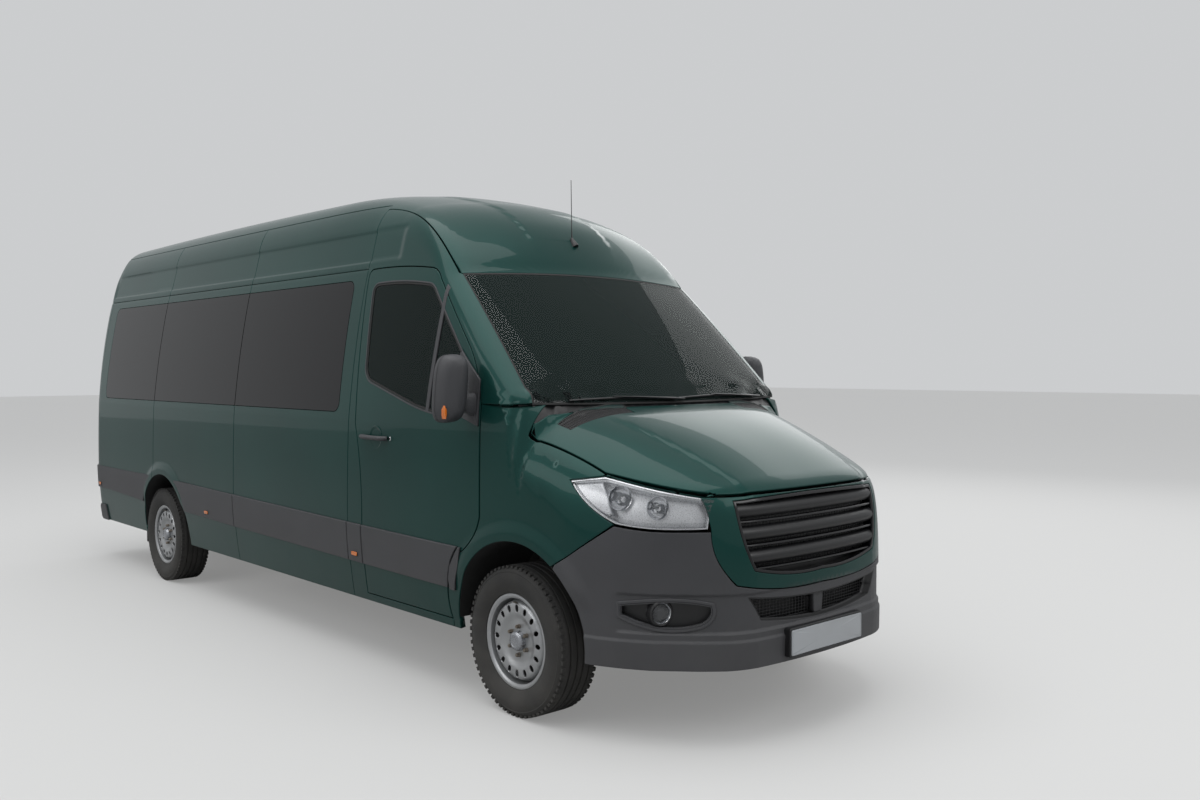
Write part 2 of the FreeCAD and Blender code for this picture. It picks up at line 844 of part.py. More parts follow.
# Rear bumper and tail lamps
rear_bumper = raised(block(-far, body_rear + 340, -far, far, sill_z, rear_door_low - 8))
save("rear_bumper", [rear_bumper])
save("tail_lamps", [tail_lamp, to_left(tail_lamp)])

# Wipers lie along the foot of the screen.
wipers = []
for low, high in ((-660, -20), (20, 640)):
    blade = [corner(low, 1448), corner(high, 1448), corner(high, 1458), corner(low, 1458)]
    wipers.append(raised(front_prism(blade, -760, 300)))
save("wipers", wipers)

# Antenna on the front of the roof
antenna_x = -691.0
antenna_top = 2665.0
antenna_base = Part.makeCone(34, 12, 70, Vector(front_axle_x + antenna_x, 0, 2270)).cut(skin_seat)
antenna_mast = rod((antenna_x - 4, 0, 2320), (antenna_x - 15, 0, antenna_top), 3.5)
save("antenna", [antenna_base.fuse(antenna_mast)])

# Floor: one board down the middle and two on each side, ahead of and behind the rear wheelhouse
floor_front = -440.0
toe_front = -80.0
floor_back = body_rear + 150
floor_boards = [
    block(floor_back, toe_front, -wheelhouse_inner, wheelhouse_inner, floor_z, floor_z + floor_thickness),
]
rear_drum = rod((rear_arch_x, -floor_half, arch_z), (rear_arch_x, floor_half, arch_z),
                arch_radius + wheelhouse_wall + seat_gap)
board_inner = wheelhouse_inner + seat_gap
for side in (-1, 1):
    low_y = min(side * board_inner, side * floor_half)
    high_y = max(side * board_inner, side * floor_half)
    for start_x, end_x in ((floor_back, rear_arch_x), (rear_arch_x, floor_front)):
        board = block(start_x, end_x, low_y, high_y, floor_z, floor_z + floor_thickness)
        floor_boards.append(board.cut(rear_drum).common(inside_seat))
save("floor_pan", floor_boards)

# Bulkhead between cab and engine: a lower panel between the wheelhouses and a wider one above them
bulkhead_thickness = 6.0
bulkhead_step = arch_z + arch_radius + 20
bulkhead_top = 1380.0
bulkhead_half = 830.0
bulkhead = [
    block(toe_front - bulkhead_thickness, toe_front, -wheelhouse_inner, wheelhouse_inner,
          floor_z + floor_thickness, bulkhead_step),
    block(toe_front - bulkhead_thickness, toe_front, -bulkhead_half, bulkhead_half,
          bulkhead_step + seat_gap, bulkhead_top).common(inside_seat),
]
save("bulkhead", bulkhead)

# Wheelhouses: drums over the wheels, open below and outwards
housings = []
for x in arch_places:
    for side in (-1, 1):
        inner = side * wheelhouse_inner
        outer_y = side * floor_half
        drum = rod((x, inner, arch_z), (x, outer_y, arch_z), arch_radius + wheelhouse_wall)
        hollow = rod((x, inner + side * wheelhouse_wall, arch_z), (x, outer_y + side, arch_z), arch_radius)
        keep = block(x - 700, x + 700, min(inner, outer_y), max(inner, outer_y), 560, 1000)
        housings.append(drum.cut(hollow).common(keep).common(inside_seat))
save("wheelhouses", housings)

# Chassis: two rails with crossmembers, jacking pads and a towing crossmember
rail_front = 865.0
rail_rear = body_rear + 90
chassis_parts = []
for side in (-1, 1):
    low_y = side * rail_y - rail_width / 2
    rail = block(rail_rear, rail_front, low_y, low_y + rail_width, rail_low, rail_high)
    chassis_parts.append(rail)
for x in (rail_rear + 52, -5200, -4950, -3500, -3000, -2200, -1400, 820):
    chassis_parts.append(block(x - 40, x + 40, -rail_y, rail_y, rail_low + 30, rail_high - 60))
tow_x = rail_rear
tow_hole_radius = 8.5
tow_spacing_y = 90.0
tow_spacing_z = 56.0
tow_plate = block(tow_x, tow_x + 12, -130, 130, rail_low - 20, rail_low + 90)
for y in (-tow_spacing_y / 2, tow_spacing_y / 2):
    for z in (-tow_spacing_z / 2, tow_spacing_z / 2):
        middle = rail_low + 35
        tow_plate = tow_plate.cut(rod((tow_x - 5, y, middle + z), (tow_x + 20, y, middle + z), tow_hole_radius))
chassis_parts.append(tow_plate)

# Engine mounts, spring hangers and jacking pads on the rails
engine_half = 260.0
spring_half = 660.0
spring_top = 452.0
pad_size = 70.0
pad_thickness = 8.0
jack_front_x = -1150.0
jack_rear_x = -3350.0
rail_inner = rail_y - rail_width / 2
for side in (-1, 1):
    low_y = min(side * rail_inner, side * (engine_half + seat_gap))
    high_y = max(side * rail_inner, side * (engine_half + seat_gap))
    chassis_parts.append(block(200, 260, low_y, high_y, rail_low + 20, rail_low + 80))
    for x in (-wheelbase - spring_half + 30, -wheelbase + spring_half - 30):
        low_y = side * rail_y - rail_width / 2
        chassis_parts.append(block(x - 28, x + 28, low_y, low_y + rail_width, spring_top + 4, rail_low))
    for x in (jack_front_x, jack_rear_x):
        low_y = side * rail_y - pad_size / 2
        chassis_parts.append(block(x - pad_size / 2, x + pad_size / 2, low_y, low_y + pad_size,
                                   rail_low - pad_thickness, rail_low))
save("chassis_frame", [fuse_all(chassis_parts)])

# Engine, gearbox and radiator, three plain masses
engine_low = 430.0
engine = block(-55, 560, -engine_half, engine_half, engine_low, 1020)
gearbox = block(-640, -55 - seat_gap, -140, 140, engine_low, 600)
radiator_half = rail_inner - seat_gap
radiator = block(800, 840, -radiator_half, radiator_half, rail_high - 60 + seat_gap, 1010)
save("engine", [engine, gearbox, radiator])

# Front suspension: crossmember, arms and struts; each strut's top meets its wheelhouse
strut_y = 660.0
strut_radius = 32.0
beam_low = 330.0
beam_high = 410.0
suspension = [block(-110, 110, -rail_y - 35, rail_y + 35, beam_low, beam_high)]
for side in (-1, 1):
    low_y = side * rail_y - rail_width / 2
    suspension.append(block(-60, 60, low_y, low_y + rail_width, beam_high, rail_low - seat_gap))
    suspension.append(rod((0, side * 440, 360), (0, side * (kingpin_y - 6), kingpin_low - 36), 16))
    suspension.append(rod((0, side * kingpin_y, kingpin_low - 50), (0, side * kingpin_y, kingpin_low - seat_gap), 22))
    suspension.append(rod((0, side * kingpin_y, kingpin_high + seat_gap), (0, side * kingpin_y, kingpin_high + 26), 22))
    arm_low = min(side * (strut_y - 20), side * kingpin_y)
    suspension.append(block(-18, 18, arm_low, arm_low + kingpin_y - strut_y + 20, kingpin_high + 2, kingpin_high + 24))
    strut = rod((0, side * strut_y, kingpin_high), (0, side * strut_y, arch_z + arch_radius), strut_radius)
    wheelhouse_end = (front_arch_x, side * (strut_y - 2 * strut_radius), arch_z)
    wheelhouse_start = (front_arch_x, side * (strut_y + 2 * strut_radius), arch_z)
    suspension.append(strut.common(rod(wheelhouse_start, wheelhouse_end, arch_radius - seat_gap)))
    rail_outer = rail_y + rail_width / 2 + seat_gap
    suspension.append(block(-25, 25, min(side * rail_outer, side * strut_y), max(side * rail_outer, side * strut_y),
                            kingpin_high + 2, kingpin_high + 30))
spring_links = fuse_all(suspension)
save("front_suspension", [spring_links])

# Rear axle with its differential, and the leaf springs under it
axle_height = tyre_radius
rear_parts = [rod((-wheelbase, -track / 2 + 40, axle_height), (-wheelbase, track / 2 - 40, axle_height), axle_tube_radius)]
rear_parts.append(Part.makeSphere(125, Vector(rear_axle_x, 0, axle_height)))
differential_nose = rod((-wheelbase, 0, axle_height), (-wheelbase + 230, 0, axle_height), 52)
rear_parts.append(differential_nose)
hub_end = track / 2 + wheel_face - seat_gap
disc_inner = track / 2 - 48
for side in (-1, 1):
    rear_parts.append(rod((-wheelbase, side * (track / 2 - 60), axle_height), (-wheelbase, side * hub_end, axle_height),
                          hub_radius))
    rear_parts.append(rod((-wheelbase, side * disc_inner, axle_height),
                          (-wheelbase, side * (disc_inner + disc_thickness), axle_height), disc_radius))
spring_middle = axle_height - axle_tube_radius - seat_gap
spring_thickness = 24.0
springs = []
for side in (-1, 1):
    low_y = side * rail_y - rail_width / 2
    leaf = side_prism([
        corner(-wheelbase - spring_half, spring_top),
        bend(-wheelbase, spring_middle),
        corner(-wheelbase + spring_half, spring_top),
        corner(-wheelbase + spring_half, spring_top - spring_thickness),
        bend(-wheelbase, spring_middle - spring_thickness),
        corner(-wheelbase - spring_half, spring_top - spring_thickness),
    ], low_y, low_y + rail_width)
    springs.append(leaf)
save("rear_axle", [fuse_all(rear_parts)] + springs)

# Propeller shaft from the gearbox to the differential
shaft = rod((-640, 0, engine_low + 60), (-wheelbase + 230, 0, axle_height + 6), 36)
save("propshaft", [cut_each(shaft, [gearbox, differential_nose])])

# Fuel tank on the left, exhaust on the right, spare wheel under the tail
tank = block(-2480, -1560, rail_y + 50, 860, 372, floor_z - seat_gap)
save("fuel_tank", [tank.makeFillet(30, tank.Edges)])
exhaust_y = -270.0
exhaust_z = 392.0
pipe_radius = 30.0
exhaust_parts = [
    rod((-300, exhaust_y, exhaust_z), (-3560, exhaust_y, exhaust_z), pipe_radius),
    rod((-2280, exhaust_y, exhaust_z), (-1420, exhaust_y, exhaust_z), 88),
    Part.makeSphere(pipe_radius, Vector(front_axle_x - 3560, exhaust_y, exhaust_z)),
    rod((-3560, exhaust_y, exhaust_z), (-3620, -900, exhaust_z - 40), pipe_radius),
    rod((-2200, exhaust_y, exhaust_z), (-2200, exhaust_y, rail_low + 30 - seat_gap), 9),
    rod((-3000, exhaust_y, exhaust_z), (-3000, exhaust_y, rail_low + 30 - seat_gap), 9),
]
save("exhaust", [fuse_all(exhaust_parts)])


def ring_profile(points, middle_y, side):
    """A closed (radius, outboard distance) outline, spun about a wheel's axle at x = 0, z = 0."""
    wire = outline_wire(points, lambda a, b: Vector(0, middle_y + side * b, a))
    return Part.Face(wire).revolve(Vector(0, 0, 0), Vector(0, 1, 0), 360)


tyre_half = tyre_width / 2
bead_half = 87.7
bead_chamfer = 3.0
tyre_profile = [
    corner(rim_radius + seat_gap, -bead_half + bead_chamfer),
    corner(rim_radius + bead_chamfer + seat_gap, -bead_half),
    corner(rim_lip_radius + 2, -bead_half),
    bend(282, -tyre_half),
    corner(328, -tyre_half + 12),
    bend(343, -tyre_half + 26),
    corner(tyre_radius, -tyre_half + 46),
    corner(tyre_radius, tyre_half - 46),
    bend(343, tyre_half - 26),
    corner(328, tyre_half - 12),
    bend(282, tyre_half),
    corner(rim_lip_radius + 2, bead_half),
    corner(rim_radius + bead_chamfer + seat_gap, bead_half),
    corner(rim_radius + seat_gap, bead_half - bead_chamfer),
    corner(rim_radius + seat_gap, bead_half - 18),
    bend(275, tyre_half - 15),
    corner(330, tyre_half - 40),
    corner(330, -tyre_half + 40),
    bend(275, -tyre_half + 15),
    corner(rim_radius + seat_gap, -bead_half + 18),
]
barrel_profile = [
    corner(rim_lip_radius, -95),
    corner(rim_lip_radius, -90),
    corner(rim_radius + 3, -88),
    corner(rim_radius, -85),
    corner(rim_radius, -62),
    corner(184, -50),
    corner(184, 12),
    corner(rim_radius, 58),
    corner(rim_radius, 85),
    corner(rim_radius + 3, 88),
    corner(rim_lip_radius, 90),
    corner(rim_lip_radius, 95),
    corner(212, 96),
    corner(197, 90),
    corner(197, 60),
    corner(178, 16),
    corner(178, -54),
    corner(197, -66),
    corner(197, -92),
    corner(212, -96),
]
dish_profile = [
    corner(0, wheel_face),
    corner(96, wheel_face),
    corner(112, wheel_face + 4),
    bend(122, wheel_face + 12),
    corner(134, wheel_face + 16),
    corner(166, wheel_face + 16),
    bend(178, wheel_face + 8),
    corner(183, 40),
    corner(183, 18),
    corner(190, 24),
    corner(190, 44),
    bend(186, wheel_face + 16),
    corner(168, wheel_face + 25),
    corner(132, wheel_face + 25),
    bend(118, wheel_face + 20),
    corner(108, wheel_face + 12),
    corner(94, wheel_face + 9),
    corner(44, wheel_face + 9),
    corner(42, wheel_face + 24),
    bend(38, wheel_face + 30),
    corner(30, wheel_face + 31),
    corner(0, wheel_face + 31),
]


def wheel_rim(side):
    middle_y = side * track / 2
    rim = ring_profile(barrel_profile, middle_y, side).fuse(ring_profile(dish_profile, middle_y, side))
    cuts = []
    for index in range(vent_count):
        angle = 2 * math.pi * index / vent_count
        start = Vector(vent_circle * math.cos(angle), middle_y + side * 50, vent_circle * math.sin(angle))
        cuts.append(Part.makeCylinder(vent_radius, 60, start, Vector(0, side, 0)))
    rim = rim.cut(Part.makeCompound(cuts))
    studs = []
    for index in range(bolt_count):
        angle = 2 * math.pi * (index + 0.5) / bolt_count
        start = Vector(bolt_circle * math.cos(angle), middle_y + side * (wheel_face + 5), bolt_circle * math.sin(angle))
        studs.append(Part.makeCylinder(9, 20, start, Vector(0, side, 0)))
    return rim.multiFuse(studs)


def wheel_tyre(side):
    return ring_profile(tyre_profile, side * track / 2, side)


def placed(shape, x, z):
    moved = shape.copy()
    moved.translate(Vector(x, 0, z))
    return moved


wheel_places = [
    ("front_right", front_axle_x, -1),
    ("front_left", front_axle_x, 1),
    ("rear_right", rear_axle_x, -1),
    ("rear_left", rear_axle_x, 1),
]
for name, x, side in wheel_places:
    save("rim_" + name, [placed(wheel_rim(side), x, axle_height)])
    save("tyre_" + name, [placed(wheel_tyre(side), x, axle_height)])

# Knuckles: kingpin, hub and brake disc
for name, side in (("right", -1), ("left", 1)):
    knuckle = fuse_all([
        rod((0, side * kingpin_y, kingpin_low), (0, side * kingpin_y, kingpin_high), kingpin_radius),
        rod((0, side * (kingpin_y - 20), axle_height), (0, side * hub_end, axle_height), hub_radius),
        rod((0, side * disc_inner, axle_height), (0, side * (disc_inner + disc_thickness), axle_height), disc_radius),
    ])
    save("knuckle_" + name, [knuckle])

# Spare wheel, flat under the tail
spare_x = -5205.0
spare = wheel_tyre(1).fuse(ring_profile(barrel_profile, track / 2, 1)).fuse(ring_profile(dish_profile, track / 2, 1))
spare.rotate(Vector(0, 0, 0), Vector(1, 0, 0), 90)
spare.translate(Vector(front_axle_x + spare_x, 0, rail_low + 30 - seat_gap - tyre_half - track / 2))
save("spare_wheel", spare.Solids)

# Dashboard and steering wheel
dash_half = 800.0
dash_front = toe_front - 6 - seat_gap
dashboard = side_prism([
    corner(dash_front, 880),
    corner(dash_front, 1374),
    bend(-260, 1372),
    corner(-430, 1330),
    bend(-505, 1290),
    corner(-525, 1220),
    corner(-455, 1010),
    corner(-330, 890),
], -dash_half, dash_half).common(inside_seat)
save("dashboard", [dashboard])
driver_y = -440.0
wheel_centre = Vector(front_axle_x - 640, driver_y, 1310)
wheel_axis = Vector(-0.62, 0, 0.785)
steering = [Part.makeTorus(188, 14, wheel_centre, wheel_axis)]
steering.append(Part.makeCylinder(48, 40, wheel_centre - wheel_axis * 34, wheel_axis))
spoke_side = wheel_axis.cross(Vector(0, 1, 0))
for angle in (90, 210, 330):
    turn = math.radians(angle)
    direction = Vector(0, 1, 0) * math.cos(turn) + spoke_side * math.sin(turn)
    steering.append(Part.makeCylinder(11, 184, wheel_centre - wheel_axis * 8, direction))
steering.append(Part.makeCylinder(30, 330, wheel_centre - wheel_axis * 30, wheel_axis * -1))
steering_wheel = fuse_all(steering).cut(dashboard)
save("steering_wheel", [max(steering_wheel.Solids, key=lambda solid: solid.Volume)])

# Seats: (x, z) profile of cushion and back from the foot of the back, then its legs
seat_profile = [
    corner(0, 985),
    corner(440, 985),
    bend(500, 1000),
    corner(510, 1060),
    bend(500, 1105),
    corner(455, 1112),
    corner(110, 1085),
    bend(70, 1095),
    corner(58, 1130),
    corner(-92, 1700),
    bend(-100, 1840),
    corner(-150, 1870),
    bend(-200, 1850),
    corner(-205, 1790),
    corner(-60, 1120),
]


# A seat's back and its cushion meet on an upright plane this far ahead of the foot of the back
seat_fold = 90.0


def seat(x, middle_y, width):
    points = [(x + a, b, kind) for a, b, kind in seat_profile]
    whole = side_prism(points, middle_y - width / 2, middle_y + width / 2)
    ahead = block(x + seat_fold, x + 900, middle_y - width, middle_y + width, 900, 2000)
    clear = block(x + seat_fold + seat_gap, x + 900, middle_y - width, middle_y + width, 900, 2000)
    return [whole.cut(ahead), whole.common(clear)]


def seat_leg(x, middle_y, width, low):
    return block(x + 60, x + 400, middle_y - width / 2, middle_y + width / 2, low, 985 - seat_gap)


floor_top = floor_z + floor_thickness + seat_gap
seat_width = 430.0
front_seat_x = -1270.0
seat_solids = []
for y, width in ((driver_y, seat_width + 60), (205, seat_width - 20), (625, seat_width - 20)):
    seat_solids += seat(front_seat_x, y, width)
front_bases = [
    seat_leg(front_seat_x, driver_y, 380, floor_top),
    seat_leg(front_seat_x, 415, 700, floor_top),
]
seat_rows = [-2160, -2940, -3720, -4500]
back_row = -5340.0
wheelhouse_reach = arch_radius + wheelhouse_wall + seat_gap
room_inner = wheelhouse_inner - seat_gap
wheelhouse_rooms = [
    rod((rear_arch_x, side * room_inner, arch_z), (rear_arch_x, side * floor_half, arch_z), wheelhouse_reach)
    for side in (-1, 1)
]
row_legs = []
for x in seat_rows:
    for y in (-640, -200, 640):
        seat_solids += seat(x, y, seat_width)
    for y in (-420, 640):
        row_legs.append(seat_leg(x, y, 60, floor_top).cut(Part.makeCompound(wheelhouse_rooms)))
for y in (-645, -214, 214, 645):
    seat_solids += seat(back_row, y, seat_width)
for y in (-440, 440):
    row_legs.append(seat_leg(back_row, y, 60, floor_top))
save("seats", seat_solids)
save("seat_bases", front_bases + row_legs)
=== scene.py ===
import json
import math

import bmesh
import bpy
import numpy as np
from mathutils import Matrix, Vector
from mathutils.geometry import delaunay_2d_cdt

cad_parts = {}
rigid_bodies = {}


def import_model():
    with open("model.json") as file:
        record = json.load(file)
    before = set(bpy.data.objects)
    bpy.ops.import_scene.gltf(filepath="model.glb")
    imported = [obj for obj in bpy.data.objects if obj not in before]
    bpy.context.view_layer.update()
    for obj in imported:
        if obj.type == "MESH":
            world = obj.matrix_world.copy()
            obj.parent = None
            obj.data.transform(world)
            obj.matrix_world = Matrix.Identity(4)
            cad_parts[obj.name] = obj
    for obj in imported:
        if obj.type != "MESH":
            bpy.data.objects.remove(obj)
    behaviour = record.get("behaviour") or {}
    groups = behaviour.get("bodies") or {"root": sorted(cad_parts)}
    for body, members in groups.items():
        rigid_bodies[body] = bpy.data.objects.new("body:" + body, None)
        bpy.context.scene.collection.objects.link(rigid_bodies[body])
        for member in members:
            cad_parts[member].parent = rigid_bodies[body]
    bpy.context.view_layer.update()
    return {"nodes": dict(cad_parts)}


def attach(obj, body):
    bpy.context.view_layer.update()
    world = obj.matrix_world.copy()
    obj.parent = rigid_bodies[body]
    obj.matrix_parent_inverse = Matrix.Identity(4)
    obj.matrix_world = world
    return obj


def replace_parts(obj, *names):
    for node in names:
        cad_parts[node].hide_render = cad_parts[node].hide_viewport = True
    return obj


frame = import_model()
nodes = frame["nodes"]

# Lengths are in millimetres with x from the front axle until a mesh is made.
MM = 0.001
FRONT_AXLE_X = 2431.5
WHEELBASE = 4325.0
BODY_REAR = -5904.0
SILL_Z = 330.0
ROOF_Z = 2692.0
ROOF_FULL_X = -2100.0
RIGHT = -1
LEFT = 1
ARCH_RADIUS, ARCH_Z = 440.0, 375.0
FRONT_ARCH, REAR_ARCH = 10.0, -WHEELBASE + 80
ROOF_AXIS_Z = 1900.0


def to_row(points):
    """Millimetres from the front axle to metres in the row's frame."""
    moved = np.array(points, float).reshape(-1, 3).copy()
    moved[:, 0] += FRONT_AXLE_X
    return moved * MM


# Body surface: side profiles at stations across the vehicle, met by a cross-section and a plan.
# Columns: y, screen top x and z, screen foot x and z, bonnet rear x and z, bonnet middle x and z,
# bonnet front x and z, drop of the roof below its centre line, x of the rear face ahead of BODY_REAR.
STATIONS = [
    (0, -560, 2125, 150, 1432, 158, 1424, 580, 1288, 959, 1084, 0, 0),
    (400, -578, 2120, 128, 1432, 136, 1420, 560, 1278, 942, 1082, 22, 2),
    (640, -605, 2110, 97, 1432, 105, 1400, 480, 1255, 868, 1062, 75, 7),
    (800, -632, 2101, 65, 1432, 80, 1345, 380, 1215, 690, 1040, 150, 18),
    (900, -672, 2088, 40, 1428, 50, 1270, 250, 1190, 480, 1040, 230, 40),
    (1010, -730, 2060, -20, 1410, -10, 1130, 140, 1090, 250, 1010, 340, 100),
]
SECTION = [(955, 300), (990, 560, 1), (1003, 770), (1000, 1040, 1), (991, 1313), (930, 1791, 1), (765, 2540),
           (690, 2850)]
PLAN = [(-6100, 1270), (-700, 1025), (-150, 992, 1), (300, 952), (612, 856, 1), (865, 650),
        (950, 550, 1), (1000, 430), (1022, 215, 1), (1030, 0)]


def arc_points(start, middle, end, count):
    """Points on the arc from start through middle to end, without its last point."""
    start, middle, end = (np.array(p, float) for p in (start, middle, end))
    chord_1, chord_2 = middle - start, end - start
    cross = 2 * (chord_1[0] * chord_2[1] - chord_1[1] * chord_2[0])
    if abs(cross) < 1e-6:
        return [start + chord_2 * i / count for i in range(count)]
    size_1, size_2 = chord_1 @ chord_1, chord_2 @ chord_2
    centre = start + np.array([chord_2[1] * size_1 - chord_1[1] * size_2,
                               chord_1[0] * size_2 - chord_2[0] * size_1]) / cross
    angle = [math.atan2(*(p - centre)[::-1]) for p in (start, middle, end)]
    sweep = (angle[2] - angle[0]) % (2 * math.pi)
    if (angle[1] - angle[0]) % (2 * math.pi) > sweep:
        sweep -= 2 * math.pi
    radius = np.linalg.norm(start - centre)
    turns = [angle[0] + sweep * i / count for i in range(count)]
    return [centre + radius * np.array([math.cos(turn), math.sin(turn)]) for turn in turns]


def polyline(points, closed=False, step=12.0):
    """Corners joined by straight runs, with an arc through each point that has a third entry."""
    count = len(points)
    found = []
    index = 0
    last = count if closed else count - 1
    while index < last:
        here = points[index][:2]
        after = points[(index + 1) % count]
        if len(after) == 3:
            end = points[(index + 2) % count][:2]
            span = math.dist(here, after[:2]) + math.dist(after[:2], end)
            found += arc_points(here, after[:2], end, max(4, int(span / step)))
            index += 2
        else:
            span = math.dist(here, after[:2])
            parts = max(1, int(span / step))
            found += [np.array(here) + (np.array(after[:2]) - here) * i / parts for i in range(parts)]
            index += 1
    if not closed:
        found.append(np.array(points[-1][:2]))
    return np.array(found, float)


def spline_rows(places, rows, wanted):
    """Natural cubic splines through rows at places, read at the wanted places."""
    places, rows = np.array(places, float), np.array(rows, float)
    gaps = np.diff(places)
    count = len(places)
    left = np.eye(count)
    right = np.zeros_like(rows)
    for i in range(1, count - 1):
        left[i, i - 1:i + 2] = gaps[i - 1], 2 * (gaps[i - 1] + gaps[i]), gaps[i]
        right[i] = 6 * ((rows[i + 1] - rows[i]) / gaps[i] - (rows[i] - rows[i - 1]) / gaps[i - 1])
    curve = np.linalg.solve(left, right)
    spot = np.clip(np.searchsorted(places, wanted) - 1, 0, count - 2)
    gap = gaps[spot][:, None]
    ahead = (places[spot + 1] - wanted)[:, None] / gap
    behind = 1 - ahead
    return (ahead * rows[spot] + behind * rows[spot + 1]
            + ((ahead ** 3 - ahead) * curve[spot] + (behind ** 3 - behind) * curve[spot + 1]) * gap ** 2 / 6)


def read_line(wanted, along, value):
    """Linear reading of a line, carried on with its end slopes."""
    order = np.argsort(along)
    along, value = np.array(along)[order], np.array(value)[order]
    found = np.interp(wanted, along, value)
    low_slope = (value[1] - value[0]) / (along[1] - along[0])
    high_slope = (value[-1] - value[-2]) / (along[-1] - along[-2])
    found = np.where(wanted < along[0], value[0] + (wanted - along[0]) * low_slope, found)
    return np.where(wanted > along[-1], value[-1] + (wanted - along[-1]) * high_slope, found)


GRID = 10.0
X_AXIS = np.arange(-5960.0, 1200.0, GRID)
Z_AXIS = np.arange(250.0, 2900.0, GRID)
Y_AXIS = np.arange(-1100.0, 1101.0, GRID)


def body_tables():
    tops, fronts, rears = [], [], []
    for row in STATIONS:
        y, top_x, top_z, foot_x, foot_z, rear_x, rear_z, mid_x, mid_z, front_x, front_z, drop, back = row
        shift = 0.5 * (top_x - STATIONS[0][1])
        back_x = BODY_REAR + back
        top = polyline([
            (front_x, front_z), (mid_x, mid_z, 1), (rear_x, rear_z), (foot_x, foot_z),
            ((top_x + foot_x) / 2 + 7, (top_z + foot_z) / 2 + 7, 1), (top_x, top_z),
            (top_x - 240, top_z + 280 - 0.35 * drop, 1), (-1172 + shift, ROOF_Z - 124 - 0.75 * drop),
            (-1600, ROOF_Z - 37 - 0.93 * drop, 1), (ROOF_FULL_X, ROOF_Z - drop),
            (-4000, ROOF_Z + 6 - drop, 1), (back_x + 200, ROOF_Z - 12 - drop),
            (back_x + 85, ROOF_Z - 60 - drop)])
        tops.append(read_line(X_AXIS, top[:, 0], top[:, 1]))
        front = polyline([(front_x + 100, SILL_Z), (front_x + 130, 560), (front_x + 76, 880, 1),
                          (front_x, front_z)])
        fronts.append(read_line(Z_AXIS, front[:, 1], front[:, 0]))
        rear = polyline([(back_x, SILL_Z), (back_x, 1300), (back_x + 5, 1850, 1),
                         (back_x + 32, ROOF_Z - 252 - 0.7 * drop), (back_x + 85, ROOF_Z - 60 - drop)])
        rears.append(read_line(Z_AXIS, rear[:, 1], rear[:, 0]))
    places = [-row[0] for row in STATIONS[:0:-1]] + [row[0] for row in STATIONS]
    tables = []
    for rows in (tops, fronts, rears):
        both = rows[:0:-1] + rows
        table = spline_rows(places, both, Y_AXIS)
        for turn in range(3):
            table[:, 1:-1] = 0.25 * table[:, :-2] + 0.5 * table[:, 1:-1] + 0.25 * table[:, 2:]
        tables.append(table)
    return tables


TOP_TABLE, FRONT_TABLE, REAR_TABLE = body_tables()


def sample(table, y, along, axis):
    """Cubic reading of a table with rows over y and columns over an axis."""
    row = np.clip((y - Y_AXIS[0]) / GRID, 1, len(Y_AXIS) - 3.001)
    column = np.clip((along - axis[0]) / GRID, 1, len(axis) - 3.001)
    row_0, column_0 = row.astype(int), column.astype(int)
    row_t, column_t = row - row_0, column - column_0

    def weights(t):
        return [-0.5 * t ** 3 + t ** 2 - 0.5 * t, 1.5 * t ** 3 - 2.5 * t ** 2 + 1,
                -1.5 * t ** 3 + 2 * t ** 2 + 0.5 * t, 0.5 * t ** 3 - 0.5 * t ** 2]

    found = 0.0
    for i, row_w in enumerate(weights(row_t)):
        line = 0.0
        for j, column_w in enumerate(weights(column_t)):
            line = line + column_w * table[row_0 + i - 1, column_0 + j - 1]
        found = found + row_w * line
    return found


def half_planes(points):
    """Normals and offsets of the sides of an outward-turning line, for distances to it."""
    ahead = np.diff(points, axis=0)
    length = np.linalg.norm(ahead, axis=1)
    keep = length > 1e-6
    normal = np.stack([ahead[keep, 1], -ahead[keep, 0]], 1) / length[keep][:, None]
    return normal, np.sum(normal * points[:-1][keep], 1)


SECTION_SIDES = half_planes(polyline(SECTION, step=60))
PLAN_SIDES = half_planes(polyline(PLAN, step=40)[::-1])


def farthest(sides, a, b):
    normal, offset = sides
    return np.max(a[:, None] * normal[:, 0] + b[:, None] * normal[:, 1] - offset, axis=1)


def round_max(a, b, radius):
    return np.maximum(a, b) + np.maximum(0, radius - np.abs(a - b)) ** 2 / (4 * radius)


def body_field(points):
    """About the distance from the body's smooth surface, negative inside."""
    x, y, z = points[:, 0], points[:, 1], points[:, 2]
    side = round_max(farthest(SECTION_SIDES, np.abs(y), z), farthest(PLAN_SIDES, x, np.abs(y)), 60.0)
    top = sample(TOP_TABLE, y, x, X_AXIS)
    slope = (sample(TOP_TABLE, y, x + 6, X_AXIS) - sample(TOP_TABLE, y, x - 6, X_AXIS)) / 12
    above = (z - top) / np.sqrt(1 + slope ** 2)
    ahead = x - sample(FRONT_TABLE, y, z, Z_AXIS)
    behind = sample(REAR_TABLE, y, z, Z_AXIS) - x
    lengthways = round_max(round_max(above, ahead, 45.0), behind, 110.0)
    radius = np.interp(x, [-6000, -1500, -700, 0, 150, 1000], [150, 150, 70, 50, 110, 90])
    radius = np.where(ahead > -150, 90.0, radius)
    return round_max(side, lengthways, radius)


def field_normal(points):
    step = 1.5
    found = np.stack([body_field(points + axis) - body_field(points - axis) for axis in step * np.eye(3)], 1)
    return found / np.linalg.norm(found, axis=1)[:, None]


